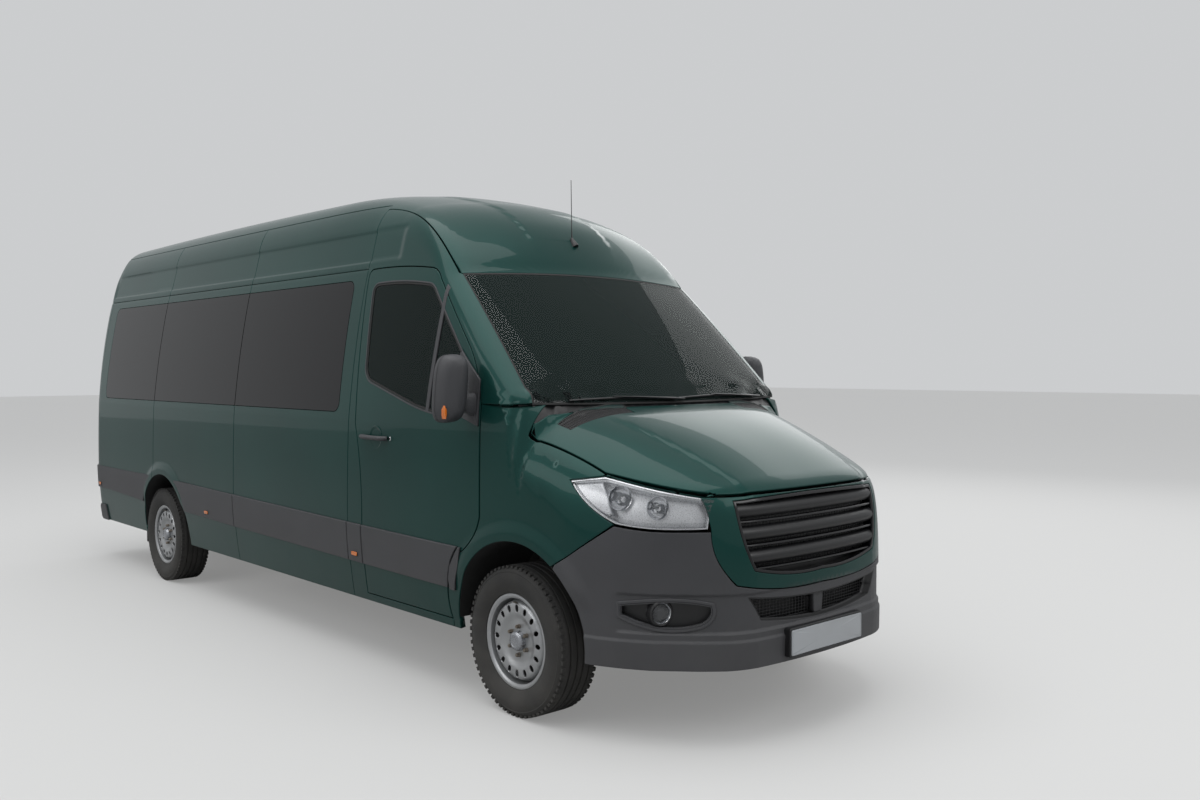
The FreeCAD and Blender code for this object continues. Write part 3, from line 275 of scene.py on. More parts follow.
def cast(origin, direction, reach):
    """Where rays leave the body, found by halving and then by secants."""
    low = np.zeros(len(origin))
    high = np.full(len(origin), reach)
    for turn in range(9):
        middle = (low + high) / 2
        out = body_field(origin + direction * middle[:, None]) > 0
        high = np.where(out, middle, high)
        low = np.where(out, low, middle)
    value_low = body_field(origin + direction * low[:, None])
    value_high = body_field(origin + direction * high[:, None])
    for turn in range(4):
        share = np.clip(value_low / np.where(value_low == value_high, 1, value_low - value_high), 0.02, 0.98)
        middle = low + (high - low) * share
        value = body_field(origin + direction * middle[:, None])
        out = value > 0
        high, value_high = np.where(out, middle, high), np.where(out, value, value_high)
        low, value_low = np.where(out, low, middle), np.where(out, value_low, value)
    share = np.clip(value_low / np.where(value_low == value_high, 1, value_low - value_high), 0, 1)
    return origin + direction * (low + (high - low) * share)[:, None]


class Chart:
    """A flat map of part of the body: its points become rays that meet the surface."""

    def __init__(self, kind, centre_x=0.0, centre_y=0.0, scale=1000.0):
        self.kind, self.centre_x, self.centre_y, self.scale = kind, centre_x, centre_y, scale

    def rays(self, flat):
        a, b = flat[:, 0], flat[:, 1]
        zero = np.zeros_like(a)
        one = np.ones_like(a)
        if self.kind == "side":
            return np.stack([a, zero, b], 1), np.stack([zero, one * RIGHT, zero], 1), 1300.0
        if self.kind == "top":
            return np.stack([a, b, one * 800], 1), np.stack([zero, zero, one], 1), 2200.0
        if self.kind == "front":
            return np.stack([one * -900, a, b], 1), np.stack([one, zero, zero], 1), 2300.0
        if self.kind == "rear":
            return np.stack([one * -5300, a, b], 1), np.stack([-one, zero, zero], 1), 900.0
        if self.kind == "barrel":
            turn = b / self.scale
            return (np.stack([a, zero, one * ROOF_AXIS_Z], 1),
                    np.stack([zero, np.sin(turn), np.cos(turn)], 1), 1300.0)
        turn = a / self.scale
        return (np.stack([one * self.centre_x, one * self.centre_y, b], 1),
                np.stack([np.cos(turn), np.sin(turn), zero], 1), 2600.0)

    def lift(self, flat):
        origin, direction, reach = self.rays(np.asarray(flat, float))
        return cast(origin, direction, reach)

    def flat(self, points):
        x, y, z = points[:, 0], points[:, 1], points[:, 2]
        if self.kind == "side":
            return np.stack([x, z], 1)
        if self.kind == "top":
            return np.stack([x, y], 1)
        if self.kind in ("front", "rear"):
            return np.stack([y, z], 1)
        if self.kind == "barrel":
            return np.stack([x, self.scale * np.arctan2(y, z - ROOF_AXIS_Z)], 1)
        turn = np.arctan2(y - self.centre_y, x - self.centre_x)
        turn = np.where((turn > 1.5) & (self.centre_y < 0), turn - 2 * math.pi, turn)
        return np.stack([self.scale * turn, z], 1)

    def normal(self, points):
        return field_normal(points)


class Disc:
    """A flat map of a pressed disc on the right side: radius gives how far out it stands."""

    def __init__(self, profile):
        self.radius, self.height = np.array(profile, float).T

    def lift(self, flat):
        flat = np.asarray(flat, float)
        height = np.interp(np.hypot(flat[:, 0], flat[:, 1]), self.radius, self.height)
        return np.stack([flat[:, 0], -height, flat[:, 1]], 1)

    def normal(self, points):
        radius = np.maximum(np.hypot(points[:, 0], points[:, 2]), 1e-6)
        slope = (np.interp(radius + 1, self.radius, self.height)
                 - np.interp(radius - 1, self.radius, self.height)) / 2
        found = np.stack([-slope * points[:, 0] / radius, -np.ones(len(points)),
                          -slope * points[:, 2] / radius], 1)
        return found / np.linalg.norm(found, axis=1)[:, None]


SIDE = Chart("side")
TOP = Chart("top")
FRONT = Chart("front")
REAR = Chart("rear")
NOSE = Chart("round", centre_x=0.0)
CAB = Chart("round", centre_x=-1400.0)
ROOF = Chart("barrel", scale=900.0)
CORNER = Chart("round", centre_x=-5640.0, centre_y=-640.0, scale=320.0)


def smooth_step(value, low, high):
    t = np.clip((value - low) / (high - low), 0, 1)
    return t * t * (3 - 2 * t)


def relief(points):
    """How far pressed shapes stand out of the plain surface, in millimetres."""
    x, y, z = points[:, 0], np.abs(points[:, 1]), points[:, 2]
    found = np.zeros(len(points))
    for centre_x in (FRONT_ARCH, REAR_ARCH):
        reach = np.hypot(x - centre_x, z - ARCH_Z)
        swell = 1 - smooth_step(reach, 468.0, 545.0)
        found += 12.0 * swell * smooth_step(z, 540.0, 660.0) * (y > 700)
    upright = (y > 700) & (x < -300)
    end = smooth_step(-x, 1120, 1180) * smooth_step(x, -5760, -5700)
    found -= 7.0 * upright * end * smooth_step(z, 2198, 2216) * (1 - smooth_step(z, 2372, 2392))
    found -= 2.5 * upright * smooth_step(-x, 1450, 1480) * np.exp(-((z - 2168.0) / 5.0) ** 2)
    ridge = 560.0 - 0.19 * np.clip(x - 150, 0, 900)
    bonnet = (x > 150) & (z > 1020) & (y < 800)
    found += 7.0 * bonnet * (1 - smooth_step(y, ridge - 6, ridge + 40)) * smooth_step(x, 160, 320)
    nose = (x > 430) & (z < 720)
    band = smooth_step(z, 482, 496) * (1 - smooth_step(z, 642, 658))
    found -= 9.0 * nose * band * (1 - smooth_step(y, 852, 884))
    found += 7.0 * nose * (1 - smooth_step(z, 446, 462))
    roof_front = (z > 2150) & (x > -1700) & (y < 600)
    raised = smooth_step(-x, 620, 820) * smooth_step(x, -1700, -1400)
    found += 8.0 * roof_front * (1 - smooth_step(y, 280, 312)) * raised
    return found


def relief_normal(points, normal):
    """The surface's normal with the slope of the pressed shapes."""
    reach = 2.0
    slope = np.stack([relief(points + axis) - relief(points - axis) for axis in reach * np.eye(3)], 1)
    slope /= 2 * reach
    slope -= normal * np.sum(slope * normal, 1)[:, None]
    found = normal - slope
    return found / np.linalg.norm(found, axis=1)[:, None]


def closed_area(loop):
    after = np.roll(loop, -1, 0)
    return 0.5 * np.sum(loop[:, 0] * after[:, 1] - after[:, 0] * loop[:, 1])


def moved_in(loop, distance):
    """A dense loop moved to its left."""
    before, after = np.roll(loop, 1, 0), np.roll(loop, -1, 0)
    first, second = loop - before, after - loop
    first /= np.linalg.norm(first, axis=1)[:, None]
    second /= np.linalg.norm(second, axis=1)[:, None]
    normal_1 = np.stack([-first[:, 1], first[:, 0]], 1)
    normal_2 = np.stack([-second[:, 1], second[:, 0]], 1)
    lean = np.maximum(1 + np.sum(normal_1 * normal_2, 1), 0.5)
    return loop + (normal_1 + normal_2) / lean[:, None] * distance


def inside_loops(points, loops):
    """Even-odd test of points against all the loops."""
    found = np.zeros(len(points), bool)
    for loop in loops:
        after = np.roll(loop, -1, 0)
        for (x1, y1), (x2, y2) in zip(loop, after):
            if y1 == y2:
                continue
            hit = ((y1 > points[:, 1]) != (y2 > points[:, 1]))
            cross = (x2 - x1) * (points[:, 1] - y1) / (y2 - y1) + x1
            found ^= hit & (points[:, 0] < cross)
    return found


def near_loops(points, loops, distance):
    found = np.zeros(len(points), bool)
    for loop in loops:
        for start in range(0, len(points), 4000):
            part = points[start:start + 4000]
            away = np.abs(part[:, None, 0] - loop[None, :, 0]) + np.abs(part[:, None, 1] - loop[None, :, 1])
            found[start:start + 4000] |= np.min(away, 1) < distance
    return found


def in_scene(name, data):
    """An object for some data, linked to the scene."""
    found = bpy.data.objects.new(name, data)
    bpy.context.scene.collection.objects.link(found)
    return found


def make_mesh(name, points, faces, materials, indices=None, smooth=40.0):
    """A mesh object from millimetres, shaded smooth below an angle in degrees, with one material or several."""
    mesh = bpy.data.meshes.new(name)
    mesh.from_pydata([tuple(p) for p in to_row(points)], [], [tuple(int(i) for i in face) for face in faces])
    for material in materials if isinstance(materials, tuple) else (materials,):
        mesh.materials.append(material)
    if indices is not None:
        mesh.polygons.foreach_set("material_index", np.array(indices, np.int32))
    mesh.polygons.foreach_set("use_smooth", np.ones(len(mesh.polygons), bool))
    mesh.set_sharp_from_angle(angle=math.radians(smooth))
    mesh.update()
    return in_scene(name, mesh)


def panel_data(chart, loops, step=30.0, depth=4.0, roll=3.0, offset=0.0, with_relief=True, creases=()):
    """A sheet over the body within flat loops: points, triangles and which triangles are on the back."""
    turned = []
    for number, loop in enumerate(loops):
        area = closed_area(loop)
        wanted = 1 if number == 0 else -1
        turned.append(loop if area * wanted > 0 else loop[::-1])
    rings = [(0.0, roll), (0.3 * roll, 0.29 * roll), (roll, 0.0)] if roll > 0 else [(0.0, 0.0)]
    flat, drops, edges, rims = [], [], [], []
    for loop in turned:
        for number, (distance, drop) in enumerate(rings):
            start = len(flat)
            ring = moved_in(loop, distance)
            flat += list(ring)
            drops += [drop] * len(ring)
            edges += [(start + i, start + (i + 1) % len(ring)) for i in range(len(ring))]
            if number == 0:
                rims.append(list(range(start, start + len(ring))))
    low, high = turned[0].min(0), turned[0].max(0)
    xs = np.arange(low[0] + step / 2, high[0], step)
    ys = np.arange(low[1] + step / 2, high[1], step)
    grid = np.stack(np.meshgrid(xs, ys), -1).reshape(-1, 2)
    grid[(np.round((grid[:, 1] - ys[0]) / step).astype(int) % 2) == 1, 0] += step / 2
    extra = [grid]
    for line in creases:
        line = np.asarray(line)
        for shift in (-9.0, -4.0, 0.0, 4.0, 9.0):
            extra.append(line + np.array([0.0, shift]))
    for number, points in enumerate(extra):
        points = points[inside_loops(points, turned)]
        margin = roll + (0.45 * step if number == 0 else 4.0)
        points = points[~near_loops(points, turned, margin)]
        if number == 0 and creases:
            points = points[~near_loops(points, [np.asarray(line) for line in creases], 16.0)]
        flat += list(points)
        drops += [0.0] * len(points)
    flat = np.array(flat)
    drops = np.array(drops)
    result = delaunay_2d_cdt([Vector(p) for p in flat], edges, [], 0, 1e-4)
    origins = result[3]
    index_of = [group[0] if group else -1 for group in origins]
    triangles = np.array([[index_of[i] for i in face] for face in result[2]])
    triangles = triangles[(triangles >= 0).all(1)]
    middle = flat[triangles].mean(1)
    triangles = triangles[inside_loops(middle, turned)]
    surface = chart.lift(flat)
    normal = chart.normal(surface)
    height = offset + (relief(surface) if with_relief else np.zeros(len(flat)))
    front = surface + normal * (height - drops)[:, None]
    back = surface + normal * (height - depth)[:, None]
    corners = surface[triangles]
    facing = np.cross(corners[:, 1] - corners[:, 0], corners[:, 2] - corners[:, 0])
    flip = np.sum(facing * normal[triangles[:, 0]], 1) < 0
    triangles[flip] = triangles[flip][:, ::-1]
    count = len(flat)
    faces = [tuple(t) for t in triangles] + [tuple(count + i for i in t[::-1]) for t in triangles]
    backs = [0] * len(triangles) + [1] * len(triangles)
    used_edges = {}
    for t in triangles:
        for i in range(3):
            used_edges[(t[i], t[(i + 1) % 3])] = True
    for rim in rims:
        for here, after in zip(rim, rim[1:] + rim[:1]):
            if (here, after) in used_edges:
                faces.append((after, here, count + here, count + after))
            elif (after, here) in used_edges:
                faces.append((here, after, count + after, count + here))
            else:
                continue
            backs.append(0)
    shading = np.zeros((2 * count, 3))
    level = drops == 0
    shading[:count][level] = (relief_normal(surface, normal) if with_relief else normal)[level]
    return np.concatenate([front, back]), faces, backs, shading


def clean(points, faces, backs, shading):
    """Drops points that no face uses."""
    used = sorted({i for face in faces for i in face})
    place = {old: new for new, old in enumerate(used)}
    return points[used], [tuple(place[i] for i in face) for face in faces], backs, shading[used]


# Each panel's own surface normals, where a zero leaves the mesh's normal
SHADING = {}


def shade(piece, shading):
    """Gives a panel the normals of the surface that it follows."""
    SHADING[piece.name] = shading
    piece.data.normals_split_custom_set_from_vertices([tuple(n) for n in shading])


def panel(name, chart, loops, materials, body="root", **sizes):
    points, faces, backs, shading = clean(*panel_data(chart, loops, **sizes))
    piece = make_mesh(name, points, faces, materials, backs if isinstance(materials, tuple) else None)
    shade(piece, shading)
    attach(piece, body)
    return piece


def side_bodies(body):
    """A right and a left body: apart from root, a body's name ends in its side."""
    return (body, body) if body == "root" else (body + "_right", body + "_left")


def both_sides(name, chart, loops, materials, body="root", **sizes):
    """A panel on the right side and its twin on the left."""
    right_body, left_body = side_bodies(body)
    piece = panel(name + "_right", chart, loops, materials, right_body, **sizes)
    return piece, mirrored(piece, name + "_left", left_body)


def trim(name, chart, loops, finish, body="root", **sizes):
    """A panel of one finish on both sides that leaves out the pressed shapes under it."""
    return both_sides(name, chart, loops, finish, body, with_relief=False, **sizes)


def fitting(name, chart, loops, finish, body="root", **sizes):
    """A single panel of one finish that leaves out the pressed shapes under it."""
    return panel(name, chart, loops, finish, body, with_relief=False, **sizes)


def mirrored(piece, name, body):
    """The same piece on the other side of the vehicle."""
    mesh = piece.data.copy()
    mesh.name = name
    if "custom_normal" in mesh.attributes:
        mesh.attributes.remove(mesh.attributes["custom_normal"])
    for vertex in mesh.vertices:
        vertex.co.y = -vertex.co.y
    mesh.flip_normals()
    twin = in_scene(name, mesh)
    if piece.name in SHADING:
        shade(twin, SHADING[piece.name] * [1, -1, 1])
    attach(twin, body)
    return twin


# Materials
FLOAT, INTEGER, VECTOR = "NodeSocketFloat", "NodeSocketInt", "NodeSocketVector"
MATERIAL, GEOMETRY = "NodeSocketMaterial", "NodeSocketGeometry"


def link(tree, source, socket):
    tree.links.new(source, socket)


def add(tree, kind, inputs=(), **settings):
    """A node with its settings, and inputs that are values or other nodes' outputs."""
    node = tree.nodes.new(kind)
    for name, value in settings.items():
        setattr(node, name, value)
    for name, value in dict(inputs).items():
        if isinstance(value, bpy.types.NodeSocket):
            link(tree, value, node.inputs[name])
        else:
            node.inputs[name].default_value = value
    return node


def new_group(name, kind, inputs, outputs):
    """A node group with named sockets: the group, what it is given and what it gives."""
    group = bpy.data.node_groups.new(name, kind)
    for label, socket_type, value in inputs:
        socket = group.interface.new_socket(label, in_out="INPUT", socket_type=socket_type)
        if value is not None:
            socket.default_value = value
    for label, socket_type in outputs:
        group.interface.new_socket(label, in_out="OUTPUT", socket_type=socket_type)
    return group, group.nodes.new("NodeGroupInput").outputs, group.nodes.new("NodeGroupOutput").inputs


def blotch_group():
    """Soft large and fine small variation over a surface, from -1 to 1."""
    group, given, wanted = new_group("surface variation", "ShaderNodeTree",
                                     [("Large Scale", FLOAT, 2.0), ("Fine Scale", FLOAT, 60.0)],
                                     [("Large", FLOAT), ("Fine", FLOAT)])
    place = add(group, "ShaderNodeTexCoord").outputs["Object"]
    for name in ("Large", "Fine"):
        noise = add(group, "ShaderNodeTexNoise", {"Detail": 3.0, "Vector": place,
                                                  "Scale": given[name + " Scale"]})
        spread = add(group, "ShaderNodeMapRange", {"Value": noise.outputs["Fac"], "From Min": 0.3,
                                                   "From Max": 0.7, "To Min": -1.0})
        link(group, spread.outputs["Result"], wanted[name])
    return group


def dust_group():
    """Patchy road dust that settles low on the vehicle."""
    group, given, wanted = new_group("road dust", "ShaderNodeTree",
                                     [("Amount", FLOAT, 0.1), ("Full Height", FLOAT, 0.2),
                                      ("Clear Height", FLOAT, 0.9)], [("Mask", FLOAT)])
    place = add(group, "ShaderNodeTexCoord").outputs["Object"]
    height = add(group, "ShaderNodeSeparateXYZ", {0: place}).outputs["Z"]
    fall = add(group, "ShaderNodeMapRange", {"Value": height, "From Min": given["Full Height"],
                                             "From Max": given["Clear Height"], "To Min": 1.0, "To Max": 0.0})
    noise = add(group, "ShaderNodeTexNoise", {"Scale": 7.0, "Detail": 6.0, "Vector": place})
    patchy = add(group, "ShaderNodeMath", {0: fall.outputs["Result"], 1: noise.outputs["Fac"]},
                 operation="MULTIPLY")
    scaled = add(group, "ShaderNodeMath", {0: patchy.outputs[0], 1: given["Amount"]}, operation="MULTIPLY")
    link(group, scaled.outputs[0], wanted["Mask"])
    return group


BLOTCH = blotch_group()
DUST = dust_group()
DUST_COLOUR = (0.16, 0.15, 0.135, 1.0)


def mix_colour(tree, factor, first, second):
    mix = tree.nodes.new("ShaderNodeMix")
    mix.data_type = "RGBA"
    for value, socket in ((factor, "Factor_Float"), (first, "A_Color"), (second, "B_Color")):
        target = [found for found in mix.inputs if found.identifier == socket][0]
        if isinstance(value, tuple):
            target.default_value = value
        else:
            link(tree, value, target)
    return [found for found in mix.outputs if found.identifier == "Result_Color"][0]


def new_material(name):
    material = bpy.data.materials.new(name)
    material.use_nodes = True
    return material, material.node_tree, material.node_tree.nodes["Principled BSDF"]


def finish_material(name, colour, second=None, roughness=0.5, rough_spread=0.06, large=2.0, fine=80.0,
                    bump=0.0, bump_scale=0.001, dust=0.0, dust_heights=(0.2, 0.9), **sockets):
    """A surface with varied colour and gloss, fine bump and road dust; sockets are the shader's own."""
    material, tree, shader = new_material(name)
    vary = add(tree, "ShaderNodeGroup", {"Large Scale": large, "Fine Scale": fine}, node_tree=BLOTCH).outputs
    second = second or tuple(c * 0.8 for c in colour)
    level = add(tree, "ShaderNodeMapRange", {"Value": vary["Large"], "From Min": -1.0})
    base = mix_colour(tree, level.outputs["Result"], (*colour, 1.0), (*second, 1.0))
    rough = add(tree, "ShaderNodeMath", {0: vary["Fine"], 1: rough_spread, 2: roughness},
                operation="MULTIPLY_ADD")
    if dust > 0:
        settle = add(tree, "ShaderNodeGroup", {"Amount": dust, "Full Height": dust_heights[0],
                                               "Clear Height": dust_heights[1]}, node_tree=DUST)
        base = mix_colour(tree, settle.outputs["Mask"], base, DUST_COLOUR)
    link(tree, base, shader.inputs["Base Color"])
    link(tree, rough.outputs[0], shader.inputs["Roughness"])
    if bump > 0:
        height = add(tree, "ShaderNodeBump", {"Strength": bump, "Distance": bump_scale, "Height": vary["Fine"]})
        link(tree, height.outputs["Normal"], shader.inputs["Normal"])
    for socket, value in sockets.items():
        shader.inputs[socket.replace("_", " ")].default_value = value
    return material


PAINT = finish_material("green paint", (0.006, 0.046, 0.039), (0.005, 0.037, 0.032), roughness=0.34,
                        rough_spread=0.03, large=1.2, fine=2200.0, bump=0.04, bump_scale=0.0002, dust=0.1,
                        dust_heights=(0.25, 0.8), Metallic=0.35, Specular_IOR_Level=0.1, Coat_Weight=0.5,
                        Coat_IOR=1.33, Coat_Roughness=0.03)
INNER = finish_material("grey inner trim", (0.12, 0.12, 0.125), roughness=0.75, fine=300.0, bump=0.2)
PRIMER = finish_material("painted inner metal", (0.006, 0.036, 0.031), roughness=0.4, fine=120.0,
                         Coat_Weight=0.3)
GREY_PLASTIC = finish_material("grained grey plastic", (0.042, 0.043, 0.048), (0.036, 0.037, 0.041),
                               roughness=0.52, rough_spread=0.07, large=3.0, fine=900.0, bump=0.35,
                               bump_scale=0.0004, dust=0.2)
BLACK_PLASTIC = finish_material("satin black plastic", (0.008, 0.008, 0.009), roughness=0.38, large=4.0,
                                fine=700.0, bump=0.15, bump_scale=0.0003)
GLOSS_BLACK = finish_material("gloss black", (0.004, 0.004, 0.005), roughness=0.12, rough_spread=0.02,
                              fine=300.0)
RUBBER = finish_material("seal rubber", (0.012, 0.012, 0.012), roughness=0.7, fine=400.0, bump=0.3)
UNDERBODY = finish_material("underbody wax", (0.015, 0.015, 0.015), (0.03, 0.027, 0.024), roughness=0.7,
                            large=6.0, fine=120.0, bump=0.5, bump_scale=0.002, dust=0.5,
                            dust_heights=(0.3, 1.0))
CAST = finish_material("cast metal", (0.09, 0.088, 0.085), (0.06, 0.05, 0.042), roughness=0.62, large=9.0,
                       fine=260.0, bump=0.5, bump_scale=0.001, Metallic=0.7)
STEEL = finish_material("dulled steel", (0.26, 0.24, 0.21), (0.18, 0.15, 0.12), roughness=0.42, large=8.0,
                        fine=200.0, bump=0.3, Metallic=0.9)
SILVER = finish_material("silver wheel paint", (0.42, 0.43, 0.44), (0.36, 0.37, 0.38), roughness=0.33,
                         large=12.0, fine=900.0, bump=0.1, bump_scale=0.0003, dust=0.5, dust_heights=(0.1, 0.7),
                         Metallic=0.65)
TYRE = finish_material("tyre rubber", (0.014, 0.014, 0.014), (0.026, 0.025, 0.023), roughness=0.78, large=9.0,
                       fine=500.0, bump=0.4, bump_scale=0.0006, dust=0.35, dust_heights=(0.0, 0.7))
LAMP_SILVER = finish_material("lamp inner silver", (0.8, 0.81, 0.83), (0.72, 0.73, 0.75), roughness=0.3,
                              fine=200.0, Metallic=0.5)
CHROME = finish_material("lamp reflector", (0.75, 0.76, 0.78), roughness=0.09, rough_spread=0.02, fine=60.0,
                         Metallic=1.0)
LAMP_GREY = finish_material("lamp housing", (0.36, 0.37, 0.39), (0.3, 0.31, 0.33), roughness=0.25, fine=200.0,
                            Metallic=0.75)
PLATE = finish_material("blank plate", (0.4, 0.42, 0.44), (0.37, 0.385, 0.4), roughness=0.4, large=5.0,
                        fine=200.0, dust=0.2)
AMBER = finish_material("amber lens", (0.7, 0.17, 0.01), roughness=0.18, fine=400.0, bump=0.3, Coat_Weight=0.6)
RED = finish_material("red lens", (0.35, 0.006, 0.008), roughness=0.14, fine=300.0, bump=0.2, Coat_Weight=0.8)
CLOTH = finish_material("seat cloth", (0.03, 0.034, 0.045), (0.022, 0.024, 0.032), roughness=0.9, large=30.0,
                        fine=1500.0, bump=0.6, bump_scale=0.0006, Sheen_Weight=0.4)
DASH = finish_material("dashboard plastic", (0.02, 0.02, 0.022), roughness=0.6, large=6.0, fine=900.0, bump=0.4)


def glass_material(name, tint, cover):
    """Thin tinted glass: partly clear, partly reflecting."""
    material, tree, shader = new_material(name)
    shader.inputs["Base Color"].default_value = (*tint, 1.0)
    shader.inputs["Roughness"].default_value = 0.02
    shader.inputs["Specular IOR Level"].default_value = 0.25
    edge = add(tree, "ShaderNodeFresnel", {"IOR": 1.45})
    more = add(tree, "ShaderNodeMath", {0: edge.outputs[0], 1: cover}, operation="ADD", use_clamp=True)
    link(tree, more.outputs[0], shader.inputs["Alpha"])
    return material


CLEAR = glass_material("clear glass", (0.02, 0.03, 0.028), 0.2)
TINTED = glass_material("tinted glass", (0.002, 0.002, 0.003), 0.96)
LENS = glass_material("clear lens", (0.7, 0.72, 0.74), 0.02)


# Outlines. Side ones are (x from the front axle, z), front and rear ones are (y, z).
PILLAR_X, SECOND_X, THIRD_X, CORNER_X = -1459.0, -2975.0, -4430.0, -5700.0
BELT_Z, ROOF_SEAM_Z = 2165.0, 2540.0
WINDOW_LOW, WINDOW_HIGH, WINDOW_FRONT, WINDOW_REAR = 1362.0, 2108.0, -1580.0, -5550.0
SHUT = 5.0
DOOR_OUTLINE = [(-1306, 372), (-1306, 800), (-1325, 1060, 1), (-1385, 1300), (-1438, 2110), (-1425, 2150, 1),
                (-1390, BELT_Z - 2), (-1090, 2158, 1), (-800, 2132), (-738, 2108, 1), (-700, 2068),
                (-385, 1740), (-270, 1570, 1), (-235, 1400), (-235, 905), (-292, 790, 1), (-425, 700),
                (-500, 560, 1), (-483, 372)]
DOOR_WINDOW = [(-1322, 1650), (-1306, 1576, 1), (-1235, 1532), (-860, 1432), (-640, 1390, 1), (-425, 1378),
               (-425, 1690), (-722, 2000), (-760, 2032, 1), (-812, 2046), (-1060, 2070, 1), (-1300, 2073),
               (-1342, 2058, 1), (-1354, 2015)]
SAIL = [(-428, 1384), (-244, 1330), (-244, 1556), (-428, 1708)]
BONNET_EDGE = [(52, 1300), (64, 1283, 1), (100, 1274), (290, 1222, 1), (470, 1150), (900, 1066)]
HEADLAMP = [(338, 1118), (480, 1139), (888, 1054), (888, 930), (720, 928, 1), (575, 944), (450, 1015, 1)]
GRILLE = [(-505, 1046), (-494, 900, 1), (-438, 745), (-260, 712, 1), (0, 706), (260, 712, 1), (438, 745),
          (494, 900, 1), (505, 1046), (0, 1056, 1)]
INTAKE = [(-470, 636), (-400, 530), (0, 500, 1), (400, 530), (470, 636), (0, 606, 1)]
FOG = [(-862, 560), (-770, 512, 1), (-660, 520), (-612, 560, 1), (-612, 606), (-700, 622, 1), (-862, 602)]
REAR_WINDOW = [(-813, 1460), (-796, 1418, 1), (-755, 1400), (-120, 1400), (-79, 1417, 1), (-62, 1458),
               (-62, 2040), (-77, 2075, 1), (-112, 2090), (-680, 2090), (-718, 2076, 1), (-742, 2040)]


def loop(points, step=12.0):
    return polyline(points, closed=True, step=step)


def shrink(points, distance):
    """A closed dense line moved inwards."""
    ring = points if closed_area(points) > 0 else points[::-1]
    return moved_in(ring, distance)


def rounded(low_a, high_a, low_b, high_b, radius):
    near = radius * (1 - math.sqrt(0.5))
    return [(low_a, low_b + radius), (low_a + near, low_b + near, 1), (low_a + radius, low_b),
            (high_a - radius, low_b), (high_a - near, low_b + near, 1), (high_a, low_b + radius),
            (high_a, high_b - radius), (high_a - near, high_b - near, 1), (high_a - radius, high_b),
            (low_a + radius, high_b), (low_a + near, high_b - near, 1), (low_a, high_b - radius)]


def arch_line(centre_x, start, end, count=60):
    """Points round a wheel arch between two angles in degrees, 0 forward and 90 up."""
    turn = np.radians(np.linspace(start, end, count))
    return np.stack([centre_x + ARCH_RADIUS * np.cos(turn), ARCH_Z + ARCH_RADIUS * np.sin(turn)], 1)


def join(*lines):
    """Lines end to end as one closed loop, without doubled points."""
    points = np.concatenate([np.asarray(line, float)[:, :2] for line in lines])
    keep = np.linalg.norm(points - np.roll(points, 1, 0), axis=1) > 0.5
    return points[keep]


def line(*points, step=12.0):
    return polyline(list(points), step=step)


SHELL = (PAINT, INNER)
GAP = 1.5


# Body sides: three bays under the belt seam, three over it, and the rear corner
LOW_Z = SILL_Z + 2
first_bay = loop([
    (PILLAR_X - GAP, LOW_Z), (PILLAR_X - GAP, BELT_Z - GAP), (SECOND_X + GAP, BELT_Z - GAP),
    (SECOND_X + GAP, WINDOW_HIGH), (WINDOW_FRONT - 60, WINDOW_HIGH), (WINDOW_FRONT - 17, WINDOW_HIGH - 17, 1),
    (WINDOW_FRONT, WINDOW_HIGH - 60), (WINDOW_FRONT, WINDOW_LOW + 60), (WINDOW_FRONT - 17, WINDOW_LOW + 17, 1),
    (WINDOW_FRONT - 60, WINDOW_LOW), (SECOND_X + GAP, WINDOW_LOW), (SECOND_X + GAP, LOW_Z)])


def rear_arch_angle(x):
    """The angle round the rear wheel, in degrees, at which its arch reaches a place along the body."""
    return math.degrees(math.acos((x - REAR_ARCH) / ARCH_RADIUS))


arch_seam = rear_arch_angle(THIRD_X + GAP)
second_low = join(line((THIRD_X + GAP, WINDOW_LOW), (SECOND_X - GAP, WINDOW_LOW), (SECOND_X - GAP, LOW_Z),
                       (REAR_ARCH + ARCH_RADIUS - 2, LOW_Z), (REAR_ARCH + ARCH_RADIUS - 1, ARCH_Z)),
                  arch_line(REAR_ARCH, 0, arch_seam),
                  line((THIRD_X + GAP, ARCH_Z + 410), (THIRD_X + GAP, WINDOW_LOW - 14)))
second_high = loop([(THIRD_X + GAP, WINDOW_HIGH), (SECOND_X - GAP, WINDOW_HIGH), (SECOND_X - GAP, BELT_Z - GAP),
                    (THIRD_X + GAP, BELT_Z - GAP)])
third_bay = join(line((THIRD_X - GAP, ARCH_Z + 412), (THIRD_X - GAP, WINDOW_LOW),
                      (WINDOW_REAR + 60, WINDOW_LOW), (WINDOW_REAR + 17, WINDOW_LOW + 17, 1),
                      (WINDOW_REAR, WINDOW_LOW + 60), (WINDOW_REAR, WINDOW_HIGH - 60),
                      (WINDOW_REAR + 17, WINDOW_HIGH - 17, 1), (WINDOW_REAR + 60, WINDOW_HIGH),
                      (THIRD_X - GAP, WINDOW_HIGH), (THIRD_X - GAP, BELT_Z - GAP), (CORNER_X, BELT_Z - GAP),
                      (CORNER_X, LOW_Z), (REAR_ARCH - ARCH_RADIUS + 2, LOW_Z),
                      (REAR_ARCH - ARCH_RADIUS + 1, ARCH_Z)),
                 arch_line(REAR_ARCH, 180, rear_arch_angle(THIRD_X - GAP)))
arch_sizes = dict(step=26.0, depth=46.0)
right_bay = panel("side_panel_front_right", SIDE, [first_bay], SHELL, **arch_sizes)
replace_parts(right_bay, "side_panel_right")
both_sides("side_panel_middle", SIDE, [second_low], SHELL, **arch_sizes)
both_sides("window_header_middle", SIDE, [second_high], SHELL, step=24.0, depth=46.0)
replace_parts(both_sides("side_panel_rear", SIDE, [third_bay], SHELL, **arch_sizes)[1], "side_panel_left")
bays = [(PILLAR_X - GAP, SECOND_X + GAP), (SECOND_X - GAP, THIRD_X + GAP), (THIRD_X - GAP, CORNER_X)]
